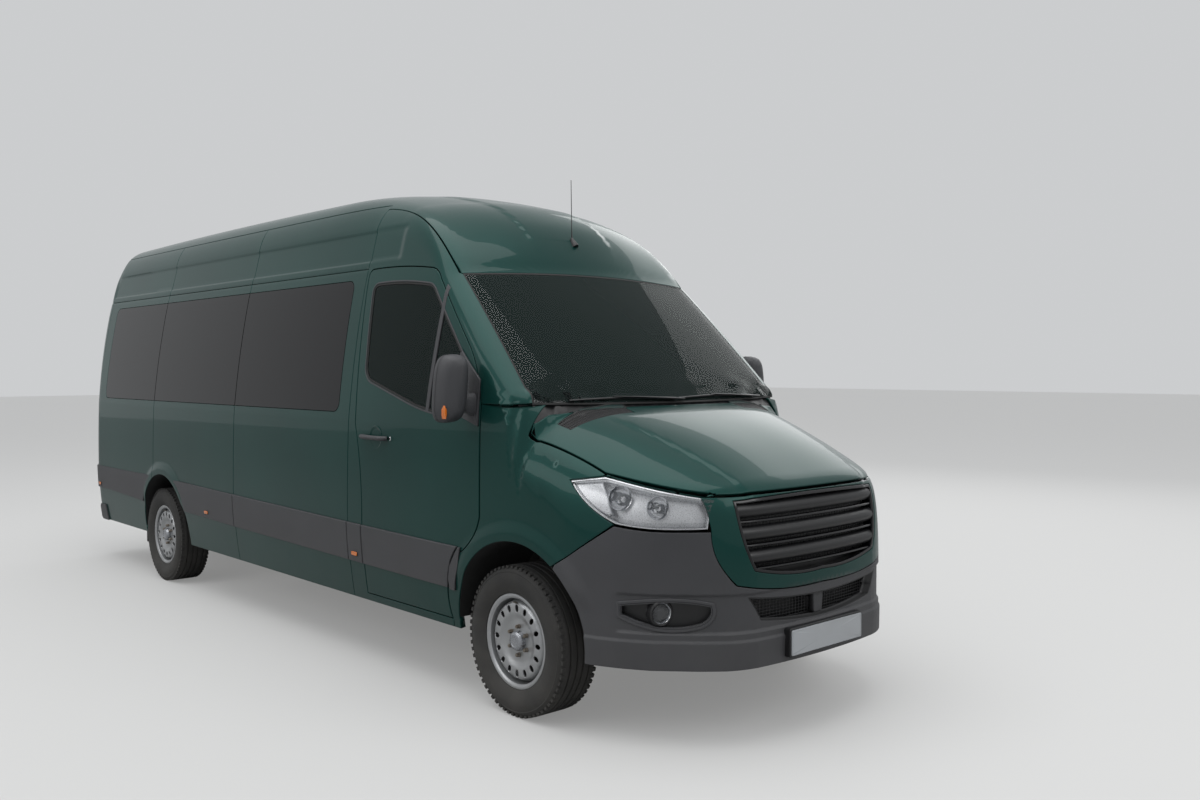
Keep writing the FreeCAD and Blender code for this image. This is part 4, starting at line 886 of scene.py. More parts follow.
for number, (front_x, rear_x) in enumerate(bays):
    upper = loop([(rear_x, BELT_Z + GAP), (front_x, BELT_Z + GAP), (front_x, ROOF_SEAM_Z - GAP),
                  (rear_x, ROOF_SEAM_Z - GAP)])
    edges = [line((rear_x + 20, z), (front_x - 20, z), step=30.0) for z in (2207, 2382)]
    both_sides("upper_side_" + str(number + 1), SIDE, [upper], SHELL, depth=40.0, creases=edges)

lamp_low, lamp_high, lamp_front, lamp_inner = 822.0, 1322.0, BODY_REAR + 78, 902.0
ROOF_REAR_X = -5828.0
seam_z = ROOF_SEAM_Z - GAP
corner_y = SIDE.lift(np.array([[ROOF_REAR_X, seam_z]]))[0, 1]
corner_loop = join(CORNER.flat(SIDE.lift(line((CORNER_X, LOW_Z), (CORNER_X, seam_z), (ROOF_REAR_X, seam_z)))),
                   CORNER.flat(REAR.lift(line((corner_y, seam_z), (-700, 2427), (-729, 2406), (-746, 2372),
                                              (-852, 1900, 1), (-904, 1500), (-905, lamp_high + 3)))),
                   CORNER.flat(SIDE.lift(line((lamp_front + 3, lamp_high + 3),
                                              (lamp_front + 3, lamp_low - 3)))),
                   CORNER.flat(REAR.lift(line((-905, lamp_low - 3), (-905, LOW_Z)))))
both_sides("rear_corner", CORNER, [corner_loop], SHELL, step=22.0, depth=40.0)

# The roof, and the rear frame around the doors
screen_top = FRONT.lift(line((-806, 2092), (0, 2118, 1), (806, 2092)))
roof_edge = ROOF.lift(line((-626, 1200), (-1010, 892, 1), (PILLAR_X, 774)))
side_run = np.append(np.arange(PILLAR_X - 20, ROOF_REAR_X + 12, -30.0), ROOF_REAR_X)
seam_points = SIDE.lift(np.stack([side_run, (ROOF_SEAM_Z + GAP) * np.ones_like(side_run)], 1)) * [1, -1, 1]
rear_turn = math.atan2(seam_points[-1, 1], seam_points[-1, 2] - ROOF_AXIS_Z)
rear_turns = np.linspace(rear_turn, -rear_turn, 60)[1:-1]
rear_row = ROOF.lift(np.stack([ROOF_REAR_X * np.ones(58), ROOF.scale * rear_turns], 1))
left_half = np.concatenate([ROOF.flat(roof_edge), ROOF.flat(seam_points)])
roof_loop = join(ROOF.flat(screen_top), left_half, ROOF.flat(rear_row), (left_half * [1, -1])[::-1])
roof = panel("roof", ROOF, [roof_loop], SHELL, step=34.0, depth=40.0)
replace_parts(roof, "roof_panel")
header_loop = join(line((-698, 2427), (698, 2427), (-corner_y, ROOF_SEAM_Z + GAP)), REAR.flat(rear_row),
                   line((corner_y, ROOF_SEAM_Z + GAP), (-698, 2427)))
rear_header = panel("rear_header", REAR, [header_loop], SHELL, depth=30.0, step=24.0, roll=0)
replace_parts(rear_header, "rear_frame")
panel("rear_sill", REAR, [loop([(-900, LOW_Z), (900, LOW_Z), (900, 464), (-900, 464)])], SHELL, depth=40.0)


def on_cab(points, chart=SIDE):
    return CAB.flat(chart.lift(points))


def on_nose(points, chart=SIDE):
    return NOSE.flat(chart.lift(points))


# Cab frame: sill, posts and the rail over the door, up to the screen and the roof
around_door = line((-483, 372), *DOOR_OUTLINE[:13], (-236, 1440))
cab_seam = line((PILLAR_X + GAP, ROOF_SEAM_Z - 12), (PILLAR_X + GAP, LOW_Z))
cab_loop = join(on_cab(cab_seam), on_cab(line((PILLAR_X + 16, LOW_Z), (-484, LOW_Z))), on_cab(around_door),
                on_cab(line((-222, 1441), (-30, 1441))),
                on_cab(line((-872, 1447), (-800, 2088)), FRONT),
                on_cab(line((-632, -1202), (-1012, -897, 1), (PILLAR_X + 4, -779)), ROOF))
cab_side, _ = both_sides("cab_frame", CAB, [cab_loop], SHELL, step=22.0, depth=40.0)
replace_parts(cab_side, "cab_frame")

# Front wings, the surround of the grille and the bumper
wing_arch = math.degrees(math.acos(255 / ARCH_RADIUS))
wing_edge = join(line((-480, LOW_Z), (-429, LOW_Z), (-429, ARCH_Z)), arch_line(FRONT_ARCH, 180, wing_arch),
                 line((292, 749), (420, 833, 1), (568, 943), (450, 1015, 1), (334, 1120), (480, 1143),
                      (884, 1059), (470, 1148), (290, 1220, 1), (98, 1272), (62, 1281, 1), (50, 1300),
                      (50, 1439)), line((-231, 1439), (-231, 905), (-288, 793, 1), (-421, 703), (-496, 560, 1),
                                        (-480, 372)))
wing_parts = both_sides("front_wing", NOSE, [on_nose(wing_edge)], SHELL, step=20.0, depth=30.0)
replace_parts(wing_parts[0], "front_wings")
surround_half = [(-621, 1061), (-607, 928), (-590, 800, 1), (-520, 692), (-290, 657, 1), (0, 652)]
surround_loop = join(line(*surround_half), line(*[(-p[0], *p[1:]) for p in surround_half[::-1]]),
                     line((621, 1061), (0, 1061), (-621, 1061)))
surround = panel("grille_surround", FRONT, [surround_loop, loop(GRILLE)], SHELL, step=18.0, depth=14.0)
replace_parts(surround, "grille_surround")
bumper_arch = math.degrees(math.acos(258 / ARCH_RADIUS))
arch_down = arch_line(FRONT_ARCH, bumper_arch, 0, 30)
bumper_side = line((290, 743), (420, 828, 1), (570, 934), (720, 918, 1), (872, 918))
bumper_half = np.concatenate([
    on_nose(line((449, LOW_Z), (449, ARCH_Z)))[:-1], on_nose(arch_down[::-1])[:-1], on_nose(bumper_side)[:-1],
    on_nose(line((-609, 918), (-592, 800, 1), (-523, 688), (-290, 652, 1), (0, 647)), FRONT)])
other_half = (bumper_half * [-1, 1])[::-1]
low_front = on_nose(line((800, LOW_Z), (0, LOW_Z), (-800, LOW_Z)), FRONT)
low_side = on_nose(line((620, LOW_Z), (460, LOW_Z)))
bumper_loop = join(bumper_half, other_half, (low_side * [-1, 1])[::-1], low_front, low_side)
bumper_holes = [on_nose(loop(INTAKE), FRONT), on_nose(loop(FOG), FRONT)]
bumper_holes.append(bumper_holes[1] * [-1, 1])
bumper_lines = [line((-half, z), (half, z), step=16.0) for half, z in ((960, 489), (960, 650), (1200, 454))]
bumper = panel("front_bumper", NOSE, [bumper_loop] + bumper_holes, GREY_PLASTIC, step=20.0, depth=25.0,
               creases=bumper_lines)
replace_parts(bumper, "front_bumper")

# Bonnet with its two vents
front_line = TOP.flat(FRONT.lift(line((-600, 1066), (0, 1066), (600, 1066))))
side_line = TOP.flat(SIDE.lift(polyline(BONNET_EDGE)))
rear_line = line((45, -880), (163, 0, 1), (45, 880))
vent_line = [(100, -780), (106, -600, 1), (128, -390), (226, -400), (196, -620, 1), (176, -765)]
bonnet_loop = join(side_line[:-2], front_line, (side_line[:-2] * [1, -1])[::-1], rear_line[::-1])
bonnet_edges = shrink(bonnet_loop, SHUT)
vents = [loop(vent_line), loop(vent_line) * [1, -1]]
bonnet = panel("bonnet_skin", TOP, [bonnet_edges] + vents, (PAINT, PRIMER), "bonnet", step=20.0, depth=26.0)
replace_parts(bonnet, "bonnet")
for number, vent in enumerate(vents):
    fitting("bonnet_vent_" + "rl"[number], TOP, [shrink(vent, 0.5)], BLACK_PLASTIC, "bonnet", depth=6.0, roll=0,
            offset=-8.0)
cowl_line = [(20, -860), (135, 0, 1), (20, 860), (72, 885), (190, 0, 1), (72, -885)]
fitting("screen_cowl", TOP, [loop(cowl_line)], BLACK_PLASTIC, depth=6.0, roll=0, offset=-12.0)


def ring(name, chart, points, width, materials, body, **sizes):
    """A strip of even width along the inside of a closed line, on both sides."""
    both_sides(name, chart, [points, shrink(points, width)], materials, body, **sizes)


# Front doors: skin, window seals, glass, quarter bar, sail, moulding, handle
door_edge = shrink(loop(DOOR_OUTLINE), SHUT)
window_edge = loop(DOOR_WINDOW)
door_skin, left_skin = both_sides("front_door_skin", SIDE, [door_edge, window_edge], (PAINT, INNER),
                                  "front_door", step=24.0, depth=44.0)
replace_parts(door_skin, "front_door_right_panel")
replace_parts(left_skin, "front_door_left_panel")
ring("door_window_strip", SIDE, shrink(window_edge, -9.0), 8.0, GREY_PLASTIC, "front_door", depth=8.0, roll=1.2,
     offset=2.5)
ring("door_window_seal", SIDE, window_edge, 11.0, RUBBER, "front_door", depth=12.0, roll=1.5, offset=-0.5)
glass, left_glass = both_sides("front_door_window", SIDE, [shrink(window_edge, 9.0)], CLEAR, "front_door",
                               depth=4.5, roll=0.5, offset=-4.0, step=60.0)
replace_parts(glass, "front_door_right_glass")
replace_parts(left_glass, "front_door_left_glass")
bar = join(line((-697, 1392), (-641, 2035), (-613, 2015), (-669, 1388)))
bars = both_sides("door_quarter_bar", SIDE, [bar], GREY_PLASTIC, "front_door", depth=16.0, roll=3.0, offset=2.0)
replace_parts(bars[0], "front_door_right_trim")
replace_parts(bars[1], "front_door_left_trim")
sail = shrink(loop(SAIL), 2.0)
both_sides("mirror_sail", SIDE, [sail], GREY_PLASTIC, "front_door", depth=14.0, roll=4.0, offset=10.0)


def band_z(x, high):
    """The side moulding's upper or lower edge, which falls a little to the front."""
    return (738.0 if high else 524.0) - 0.0125 * x


def moulding(low_x, high_x):
    """A length of the side moulding between two x."""
    return loop([(low_x, band_z(low_x, False)), (high_x, band_z(high_x, False)),
                 (high_x, band_z(high_x, True)), (low_x, band_z(low_x, True))])


BAND = dict(depth=12.0, roll=5.0, offset=11.0, step=60.0, with_relief=False)
arch_clear = ARCH_RADIUS + 22


def moulding_to_arch(far_x, centre_x):
    """A moulding that ends round a wheel arch."""
    high_turn = math.asin((band_z(centre_x, True) - ARCH_Z) / arch_clear)
    low_turn = math.asin((band_z(centre_x, False) - ARCH_Z) / arch_clear)
    sign = 1 if far_x > centre_x else -1
    turn = np.linspace(low_turn, high_turn, 14)
    arc = np.stack([centre_x + sign * arch_clear * np.cos(turn), ARCH_Z + arch_clear * np.sin(turn)], 1)
    ends = line((far_x, band_z(far_x, True)), (far_x, band_z(far_x, False)))
    return join(arc, ends)


both_sides("moulding_second_bay", SIDE, [moulding_to_arch(SECOND_X - 3, REAR_ARCH)], GREY_PLASTIC, **BAND)
first_moulding = both_sides("moulding_first_bay", SIDE, [moulding(SECOND_X + 3, PILLAR_X - 3)], GREY_PLASTIC,
                            **BAND)
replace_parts(first_moulding[0], "body_mouldings")
both_sides("moulding_third_bay", SIDE, [moulding_to_arch(BODY_REAR + 60, REAR_ARCH)], GREY_PLASTIC, **BAND)
both_sides("moulding_post", SIDE, [moulding(PILLAR_X + 3, -1308)], GREY_PLASTIC, **BAND)
door_band = [(-1300, band_z(-1300, False)), (-497, band_z(-497, False)), (-488, 600), (-462, 672), (-434, 712),
             (-408, band_z(-420, True)), (-1300, band_z(-1300, True))]
both_sides("moulding_door", SIDE, [loop(door_band)], GREY_PLASTIC, "front_door", **BAND)
wing_band = [(-478, 524), (-436, 524), (-432, 560), (-420, 600), (-404, 640), (-382, 742), (-396, 742),
             (-425, 706), (-470, 640), (-484, 580)]
both_sides("moulding_wing", SIDE, [loop(wing_band)], GREY_PLASTIC, **dict(BAND, roll=2.0))


# Wheel arches: a liner inside each opening
def arch_liner(name, centre_x, start, end, inner_y, material=RUBBER, thickness=3.0):
    """A sheet round an arch, from the body's surface inwards to inner_y, on both sides."""
    count = 72
    radius = ARCH_RADIUS - 1
    middle = np.array([centre_x, 0.0, ARCH_Z])
    turn = np.radians(np.linspace(start, end, count))
    flat = np.stack([centre_x + radius * np.cos(turn), ARCH_Z + radius * np.sin(turn)], 1)
    edge = SIDE.lift(np.clip(flat, [-9000, 340], [9000, 2000]))
    edge[:, [0, 2]] = flat
    swell = relief(np.stack([centre_x + 470 * np.cos(turn), edge[:, 1], ARCH_Z + 470 * np.sin(turn)], 1))
    points = []
    for share in (0.0, 0.35, 1.0):
        row = edge.copy()
        row[:, 1] = -(np.abs(edge[:, 1]) + np.maximum(swell, 0) - 6.0) * (1 - share) + inner_y * share
        points += list(row)
    total = len(points)
    rows = total // count
    for p in points[:total]:
        away = (p - middle) * [1, 0, 1]
        points.append(p + away / np.linalg.norm(away) * thickness)
    faces = []
    for r in range(rows - 1):
        for i in range(count - 1):
            a, b = r * count + i, r * count + i + 1
            c, d = a + count, b + count
            faces.append((a, b, d, c))
            faces.append((total + a, total + c, total + d, total + b))
    for r in range(rows - 1):
        a, c = r * count, (r + 1) * count
        faces.append((a, c, total + c, total + a))
        a, c = a + count - 1, c + count - 1
        faces.append((a, total + a, total + c, c))
    for i in range(count - 1):
        a, b = i, i + 1
        faces.append((a, total + a, total + b, b))
        a, b = a + (rows - 1) * count, b + (rows - 1) * count
        faces.append((a, b, total + b, total + a))
    piece = make_mesh(name + "_right", np.array(points), faces, material)
    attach(piece, "root")
    return piece, mirrored(piece, name + "_left", "root")


front_liner = arch_liner("front_arch_liner", FRONT_ARCH, 4, 178, -600.0)
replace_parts(front_liner[0], "arch_lips")
arch_liner("rear_arch_liner", REAR_ARCH, 2, 178, -640.0)


def lathe(profile, centre, axis, count=48):
    """A profile of (radius, distance along the axis) spun round an axis: points and faces."""
    axis = np.array(axis, float) / np.linalg.norm(axis)
    across = np.cross(axis, (0.0, 0.0, 1.0) if abs(axis[2]) < 0.9 else (0.0, 1.0, 0.0))
    across /= np.linalg.norm(across)
    up = np.cross(axis, across)
    points, faces = [], []
    rows = []
    for radius, along in profile:
        middle = np.array(centre, float) + axis * along
        if radius < 1e-6:
            rows.append([len(points)] * count)
            points.append(middle)
        else:
            rows.append(list(range(len(points), len(points) + count)))
            for i in range(count):
                turn = 2 * math.pi * i / count
                points.append(middle + radius * (across * math.cos(turn) + up * math.sin(turn)))
    for row, after in zip(rows, rows[1:]):
        for i in range(count):
            j = (i + 1) % count
            face = [row[i], row[j], after[j], after[i]]
            face = [p for n, p in enumerate(face) if p not in face[:n]]
            if len(face) > 2:
                faces.append(tuple(face))
    return points, faces


def piece_of(name, parts, materials, body="root", smooth=40.0):
    """One piece from several (points, faces) parts, with its faces turned outwards."""
    points, faces = [], []
    for some_points, some_faces in parts:
        start = len(points)
        points += [np.asarray(p, float) for p in some_points]
        faces += [tuple(start + i for i in face) for face in some_faces]
    piece = make_mesh(name, np.array(points), faces, materials, smooth=smooth)
    turned = bmesh.new()
    turned.from_mesh(piece.data)
    bmesh.ops.recalc_face_normals(turned, faces=turned.faces)
    turned.to_mesh(piece.data)
    turned.free()
    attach(piece, body)
    return piece


def twins(name, parts, materials, body="root", smooth=40.0):
    """A piece of parts on the right side and its twin on the left."""
    right_body, left_body = side_bodies(body)
    piece = piece_of(name + "_right", parts, materials, right_body, smooth)
    return piece, mirrored(piece, name + "_left", left_body)


def stack(rings, closed_ends=True):
    """Rings of equal count joined in order, with capped ends."""
    count = len(rings[0])
    points = [p for ring_points in rings for p in ring_points]
    faces = []
    for r in range(len(rings) - 1):
        for i in range(count):
            j = (i + 1) % count
            faces.append((r * count + i, r * count + j, (r + 1) * count + j, (r + 1) * count + i))
    if closed_ends:
        for start in (0, (len(rings) - 1) * count):
            middle = len(points)
            points.append(np.mean(points[start:start + count], 0))
            faces += [(start + i, start + (i + 1) % count, middle) for i in range(count)]
    return points, faces


def tube(path, radii, count=16, flat=1.0):
    """A round or flattened bar along points, with its ends closed."""
    path = [np.array(p, float) for p in path]
    if not hasattr(radii, "__len__"):
        radii = [radii] * len(path)
    rings = []
    for i, middle in enumerate(path):
        ahead = path[min(i + 1, len(path) - 1)] - path[max(i - 1, 0)]
        ahead /= np.linalg.norm(ahead)
        across = np.cross(ahead, (0.0, 0.0, 1.0) if abs(ahead[2]) < 0.95 else (1.0, 0.0, 0.0))
        across /= np.linalg.norm(across)
        up = np.cross(across, ahead)
        rings.append([middle + radii[i] * (across * math.cos(t) + flat * up * math.sin(t))
                      for t in np.linspace(0, 2 * math.pi, count, endpoint=False)])
    return stack(rings)


def squircle(middle, half_a, half_b, axis_a, axis_b, power=3.2, count=40):
    """A rounded rectangle's ring about a middle point."""
    axis_a, axis_b = np.array(axis_a, float), np.array(axis_b, float)
    points = []
    for t in np.linspace(0, 2 * math.pi, count, endpoint=False):
        a = math.copysign(abs(math.cos(t)) ** (2 / power), math.cos(t)) * half_a
        b = math.copysign(abs(math.sin(t)) ** (2 / power), math.sin(t)) * half_b
        points.append(np.array(middle, float) + axis_a * a + axis_b * b)
    return points


# Screen with its black printed border, side glass and the sliding door
screen_loop = loop([(-868, 1446), (0, 1440, 1), (868, 1446), (796, 2086), (0, 2112, 1), (-796, 2086)])
screen = fitting("screen_glass", FRONT, [shrink(screen_loop, 3.0)], CLEAR, depth=5.0, roll=1.0, step=45.0)
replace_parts(screen, "windscreen")
clear_part = loop([(-800, 1502), (0, 1494, 1), (800, 1502), (738, 2036), (700, 2052), (0, 2066, 1),
                   (-700, 2052), (-738, 2036)])
fitting("screen_border", FRONT, [shrink(screen_loop, 3.0), clear_part], GLOSS_BLACK, depth=2.0, roll=0,
        step=30.0, offset=-5.5)
fitting("screen_seal", FRONT, [shrink(screen_loop, -6.0), shrink(screen_loop, 2.5)], RUBBER, depth=9.0,
        roll=1.0, offset=-1.0)
GLASS = dict(depth=5.0, roll=1.0, step=60.0, with_relief=False)
PANE_GAP = 4.0
first_pane = loop([(SECOND_X + PANE_GAP, WINDOW_LOW + 3), (WINDOW_FRONT - 60, WINDOW_LOW + 3),
                   (WINDOW_FRONT - 19, WINDOW_LOW + 19, 1), (WINDOW_FRONT - 3, WINDOW_LOW + 60),
                   (WINDOW_FRONT - 3, WINDOW_HIGH - 60), (WINDOW_FRONT - 19, WINDOW_HIGH - 19, 1),
                   (WINDOW_FRONT - 60, WINDOW_HIGH - 3), (SECOND_X + PANE_GAP, WINDOW_HIGH - 3)])
second_pane = loop([(THIRD_X + PANE_GAP, WINDOW_LOW + 3), (SECOND_X - PANE_GAP, WINDOW_LOW + 3),
                    (SECOND_X - PANE_GAP, WINDOW_HIGH - 3), (THIRD_X + PANE_GAP, WINDOW_HIGH - 3)])
third_pane = loop([(WINDOW_REAR + 3, WINDOW_LOW + 60), (WINDOW_REAR + 19, WINDOW_LOW + 19, 1),
                   (WINDOW_REAR + 60, WINDOW_LOW + 3), (THIRD_X - PANE_GAP, WINDOW_LOW + 3),
                   (THIRD_X - PANE_GAP, WINDOW_HIGH - 3), (WINDOW_REAR + 60, WINDOW_HIGH - 3),
                   (WINDOW_REAR + 19, WINDOW_HIGH - 19, 1), (WINDOW_REAR + 3, WINDOW_HIGH - 60)])
pane = panel("side_pane_first", SIDE, [first_pane], TINTED, **GLASS)
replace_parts(pane, "side_glass")
both_sides("side_pane_second", SIDE, [second_pane], TINTED, **GLASS)
both_sides("side_pane_third", SIDE, [third_pane], TINTED, **GLASS)
for number, x in enumerate((SECOND_X, THIRD_X)):
    strip = loop([(x - 9, WINDOW_LOW), (x + 9, WINDOW_LOW), (x + 9, WINDOW_HIGH), (x - 9, WINDOW_HIGH)])
    both_sides("pane_seal_" + str(number + 1), SIDE, [strip], RUBBER, depth=8.0, roll=0, offset=-3.0)

slide_loop = loop([(SECOND_X + 17, 377), (PILLAR_X - 17, 377), (PILLAR_X - 17, BELT_Z - 9),
                   (SECOND_X + 17, BELT_Z - 9)])
slide_pane = loop(rounded(SECOND_X + 45, WINDOW_FRONT, WINDOW_LOW, WINDOW_HIGH, 60))
slide_right = panel("sliding_door_skin_mould", SIDE, [slide_loop, slide_pane], (PAINT, INNER), step=26.0,
                    depth=44.0)
slide_skin = mirrored(slide_right, "sliding_door_skin", "root")
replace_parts(slide_skin, "sliding_door")
glass_right = panel("sliding_pane_mould", SIDE, [shrink(slide_pane, 3.0)], TINTED, **GLASS)
mirrored(glass_right, "sliding_door_pane", "root")
frame_loop = loop([(SECOND_X + 3, LOW_Z), (PILLAR_X - GAP, LOW_Z), (PILLAR_X - GAP, BELT_Z - GAP),
                   (SECOND_X + 3, BELT_Z - GAP)])
frame_right = panel("door_frame_mould", SIDE, [frame_loop, shrink(slide_loop, -5.0)], SHELL, depth=46.0)
mirrored(frame_right, "sliding_door_frame", "root")
rail_right = panel("slide_rail_mould", SIDE, [loop([(BODY_REAR + 420, 1268), (SECOND_X - 10, 1268),
                                                    (SECOND_X - 10, 1304), (BODY_REAR + 420, 1304)])],
                   BLACK_PLASTIC, depth=6.0, offset=4.0)
mirrored(rail_right, "sliding_door_rail", "root")
grip_right = piece_of("slide_grip_mould", [tube([(-1640, -996, 1176), (-1640, -1016, 1190),
                                                 (-1640, -1018, 1240), (-1640, -1016, 1318),
                                                 (-1640, -992, 1332)], 12)], GREY_PLASTIC)
mirrored(grip_right, "sliding_door_grip", "root")
for spare in (slide_right, glass_right, frame_right, rail_right, grip_right):
    bpy.data.objects.remove(spare)

# Rear doors
right_door = loop([(-5, 2415), (-5, 475), (-893, 475), (-893, 1500), (-841, 1900, 1), (-735, 2368),
                   (-718, 2398, 1), (-688, 2415)])
rear_pane = loop(REAR_WINDOW)
for side, name in ((1, "right"), (-1, "left")):
    turn = [side, 1]
    skin = panel("rear_door_skin_" + name, REAR, [right_door * turn, rear_pane * turn], (PAINT, INNER),
                 "rear_door_" + name, step=26.0, depth=40.0)
    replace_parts(skin, "rear_door_" + name)
    pane = panel("rear_pane_" + name, REAR, [shrink(rear_pane * turn, 3.0)], TINTED, "rear_door_" + name,
                 depth=5.0, roll=1.0, step=60.0)
    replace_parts(pane, "rear_door_" + name + "_glass")
    hinges = []
    for z in (640, 1240, 1800):
        y = 905 - max(0, z - 1500) * 0.22
        hinges.append(tube([(BODY_REAR - 4, -side * y, z - 45), (BODY_REAR - 4, -side * y, z + 45)], 9))
    piece_of("rear_hinges_" + name, hinges, PAINT, "rear_door_" + name)
recess = loop(rounded(-300, -14, 1080, 1250, 30))
panel("rear_handle_plate", REAR, [recess], BLACK_PLASTIC, "rear_door_right", depth=5.0, offset=5.0, step=40.0)
piece_of("rear_handle", [tube([(BODY_REAR - 6, -60, 1165), (BODY_REAR - 10, -75, 1165),
                               (BODY_REAR - 10, -225, 1165), (BODY_REAR - 6, -240, 1165)], 11, flat=1.6)],
         GREY_PLASTIC, "rear_door_right")
plate_area = loop(rounded(70, 600, 1060, 1190, 12))
panel("rear_plate", REAR, [plate_area], PLATE, "rear_door_left", depth=4.0, offset=5.0, roll=1.0, step=60.0)
bar_z = 2447
panel("high_brake_lamp", REAR, [loop(rounded(-150, 150, bar_z, bar_z + 30, 10))], RED, depth=10.0, offset=6.0,
      step=40.0)


# Headlamps: clear cover, housing, reflectors and a lower strip
lamp_edge = on_nose(shrink(loop(HEADLAMP), 2.0))
lens_parts = trim("headlamp_cover", NOSE, [lamp_edge], LENS, depth=3.0, roll=2.5, step=18.0)
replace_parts(lens_parts[0], "front_lamps")
trim("headlamp_floor", NOSE, [shrink(lamp_edge, 2.0)], LAMP_SILVER, depth=3.0, roll=0, step=18.0, offset=-64.0)
trim("headlamp_wall", NOSE, [lamp_edge, shrink(lamp_edge, 5.0)], LAMP_SILVER, depth=64.0, roll=0, offset=-3.0)
trim("headlamp_rim", NOSE, [lamp_edge, shrink(lamp_edge, 5.0)], BLACK_PLASTIC, depth=3.0, roll=0, offset=-3.4)
strip_low = [(884, 934), (720, 932, 1), (577, 948), (535, 965), (552, 985), (590, 968), (720, 955, 1),
             (884, 958)]
trim("headlamp_strip", NOSE, [on_nose(loop(strip_low))], LENS, depth=30.0, roll=3.0, offset=-8.0, step=12.0)
outer_tip = [(352, 1110), (470, 1128), (520, 1060), (560, 968), (452, 1022, 1)]
trim("headlamp_outer_unit", NOSE, [on_nose(loop(outer_tip))], LAMP_SILVER, depth=20.0, roll=8.0, offset=-22.0,
     step=14.0)
BOWL = [(4, -46), (22, -45), (40, -34), (55, -12), (60, 4), (63, 6), (64, 2), (58, -16), (42, -38), (20, -50),
        (0, -50)]
BULB = [(0, 0), (9, -3), (11, -12), (11, -30), (9, -46), (0, -47)]
reflectors, bulbs = [], []
for x, z, scale in ((585.0, 1052.0, 0.86), (735.0, 1017.0, 0.8)):
    seat = SIDE.lift(np.array([[x, z]]))[0]
    facing = np.array([0.93, -0.36, 0.0])
    middle = seat - facing * 22
    reflectors.append(lathe([(r * scale, a) for r, a in BOWL], middle, facing, 40))
    bulbs.append(lathe([(r * scale, a) for r, a in BULB], middle, facing, 20))
twins("headlamp_reflectors", reflectors, CHROME)
twins("headlamp_bulbs", bulbs, LENS)

# Fog lamps in their recesses
fog_edge = on_nose(loop(FOG), FRONT)
trim("fog_recess_floor", NOSE, [shrink(fog_edge, 1.0)], BLACK_PLASTIC, depth=3.0, roll=0, step=16.0,
     offset=-42.0)
trim("fog_recess_wall", NOSE, [fog_edge, shrink(fog_edge, 3.0)], GREY_PLASTIC, depth=44.0, roll=0, offset=-2.0)
trim("fog_bezel", NOSE, [shrink(fog_edge, -16.0), fog_edge], GREY_PLASTIC, depth=8.0, roll=5.0, offset=-2.0)
fog_at, fog_axis = (742.0, -748.0, 572.0), (0.96, -0.28, 0.0)
twins("fog_bowl", [lathe([(46, -60), (48, -12), (50, -2), (46, 0), (42, -4), (40, -24), (26, -46), (0, -52)],
                         fog_at, fog_axis, 44)], CHROME)
twins("fog_lens", [lathe([(0, 3), (20, 1.5), (38, -3), (44, -8), (44, -11), (0, -3)], fog_at, fog_axis, 44)],
      LENS)
twins("fog_ring", [lathe([(44, -14), (45, 2), (50, 4), (56, -2), (57, -30), (52, -34)], fog_at, fog_axis, 44)],
      BLACK_PLASTIC)

# Grille: frame, broad slats each with a thin blade under it, and the mesh behind
grille_edge = loop(GRILLE)
grille_frame = panel("grille_frame", FRONT, [shrink(grille_edge, 1.0), shrink(grille_edge, 15.0)],
                     GLOSS_BLACK, depth=50.0, roll=4.0, offset=-2.0)
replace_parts(grille_frame, "grille")
panel("grille_back", FRONT, [shrink(grille_edge, 10.0)], BLACK_PLASTIC, depth=4.0, roll=0, offset=-58.0,
      step=40.0)


def grille_half(z):
    """Half of the grille's inner width at one height."""
    edge = shrink(grille_edge, 12.0)
    right = edge[edge[:, 0] > 0]
    order = np.argsort(right[:, 1])
    return float(np.interp(z, right[order, 1], right[order, 0]))


def slat(name, low_z, high_z, out, bow, thick, material):
    """A slat across the grille, whose section swells forward by bow."""
    rows = []
    section = [(0.0, 0.0), (0.25, 0.75), (0.5, 1.0), (0.75, 0.8), (1.0, 0.1)]
    half = grille_half((low_z + high_z) / 2)
    for share in np.linspace(-1, 1, 49):
        y = share * half
        front = [FRONT.lift(np.array([[y, low_z + (high_z - low_z) * up]]))[0] for up, _ in section]
        ring_points = [p + np.array([out - bow + bow * swell, 0, 0]) for p, (_, swell) in zip(front, section)]
        back = [p + np.array([out - bow - thick, 0, 0]) for p in (front[-1], front[0])]
        rows.append(ring_points + back)
    return piece_of(name, [stack(rows)], material, smooth=50.0)


for number, low_z in enumerate((765.0, 866.0, 967.0)):
    slat("grille_slat_" + str(number + 1), low_z + 6, low_z + 66, -4.0, 20.0, 16.0, BLACK_PLASTIC)
    slat("grille_blade_" + str(number + 1), low_z - 20, low_z - 8, -12.0, 5.0, 14.0, GLOSS_BLACK)

# Lower intake: walls, a mesh of bars and a middle post
intake_edge = on_nose(loop(INTAKE), FRONT)
panel("intake_floor", NOSE, [shrink(intake_edge, 1.0)], BLACK_PLASTIC, depth=3.0, roll=0, offset=-90.0,
      step=30.0)
panel("intake_wall", NOSE, [intake_edge, shrink(intake_edge, 4.0)], BLACK_PLASTIC, depth=90.0, roll=0,
      offset=-1.0)
post = loop([(-38, 612), (-30, 506), (30, 506), (38, 612)])
panel("intake_post", FRONT, [post], GREY_PLASTIC, depth=30.0, roll=5.0, offset=-22.0)


def finished(tree, made, given, wanted):
    """Ends a geometry tree with real geometry in its finish."""
    real = add(tree, "GeometryNodeRealizeInstances", {"Geometry": made})
    painted = add(tree, "GeometryNodeSetMaterial", {"Geometry": real.outputs["Geometry"],
                                                    "Material": given["Finish"]})
    link(tree, painted.outputs["Geometry"], wanted["Geometry"])
    return tree


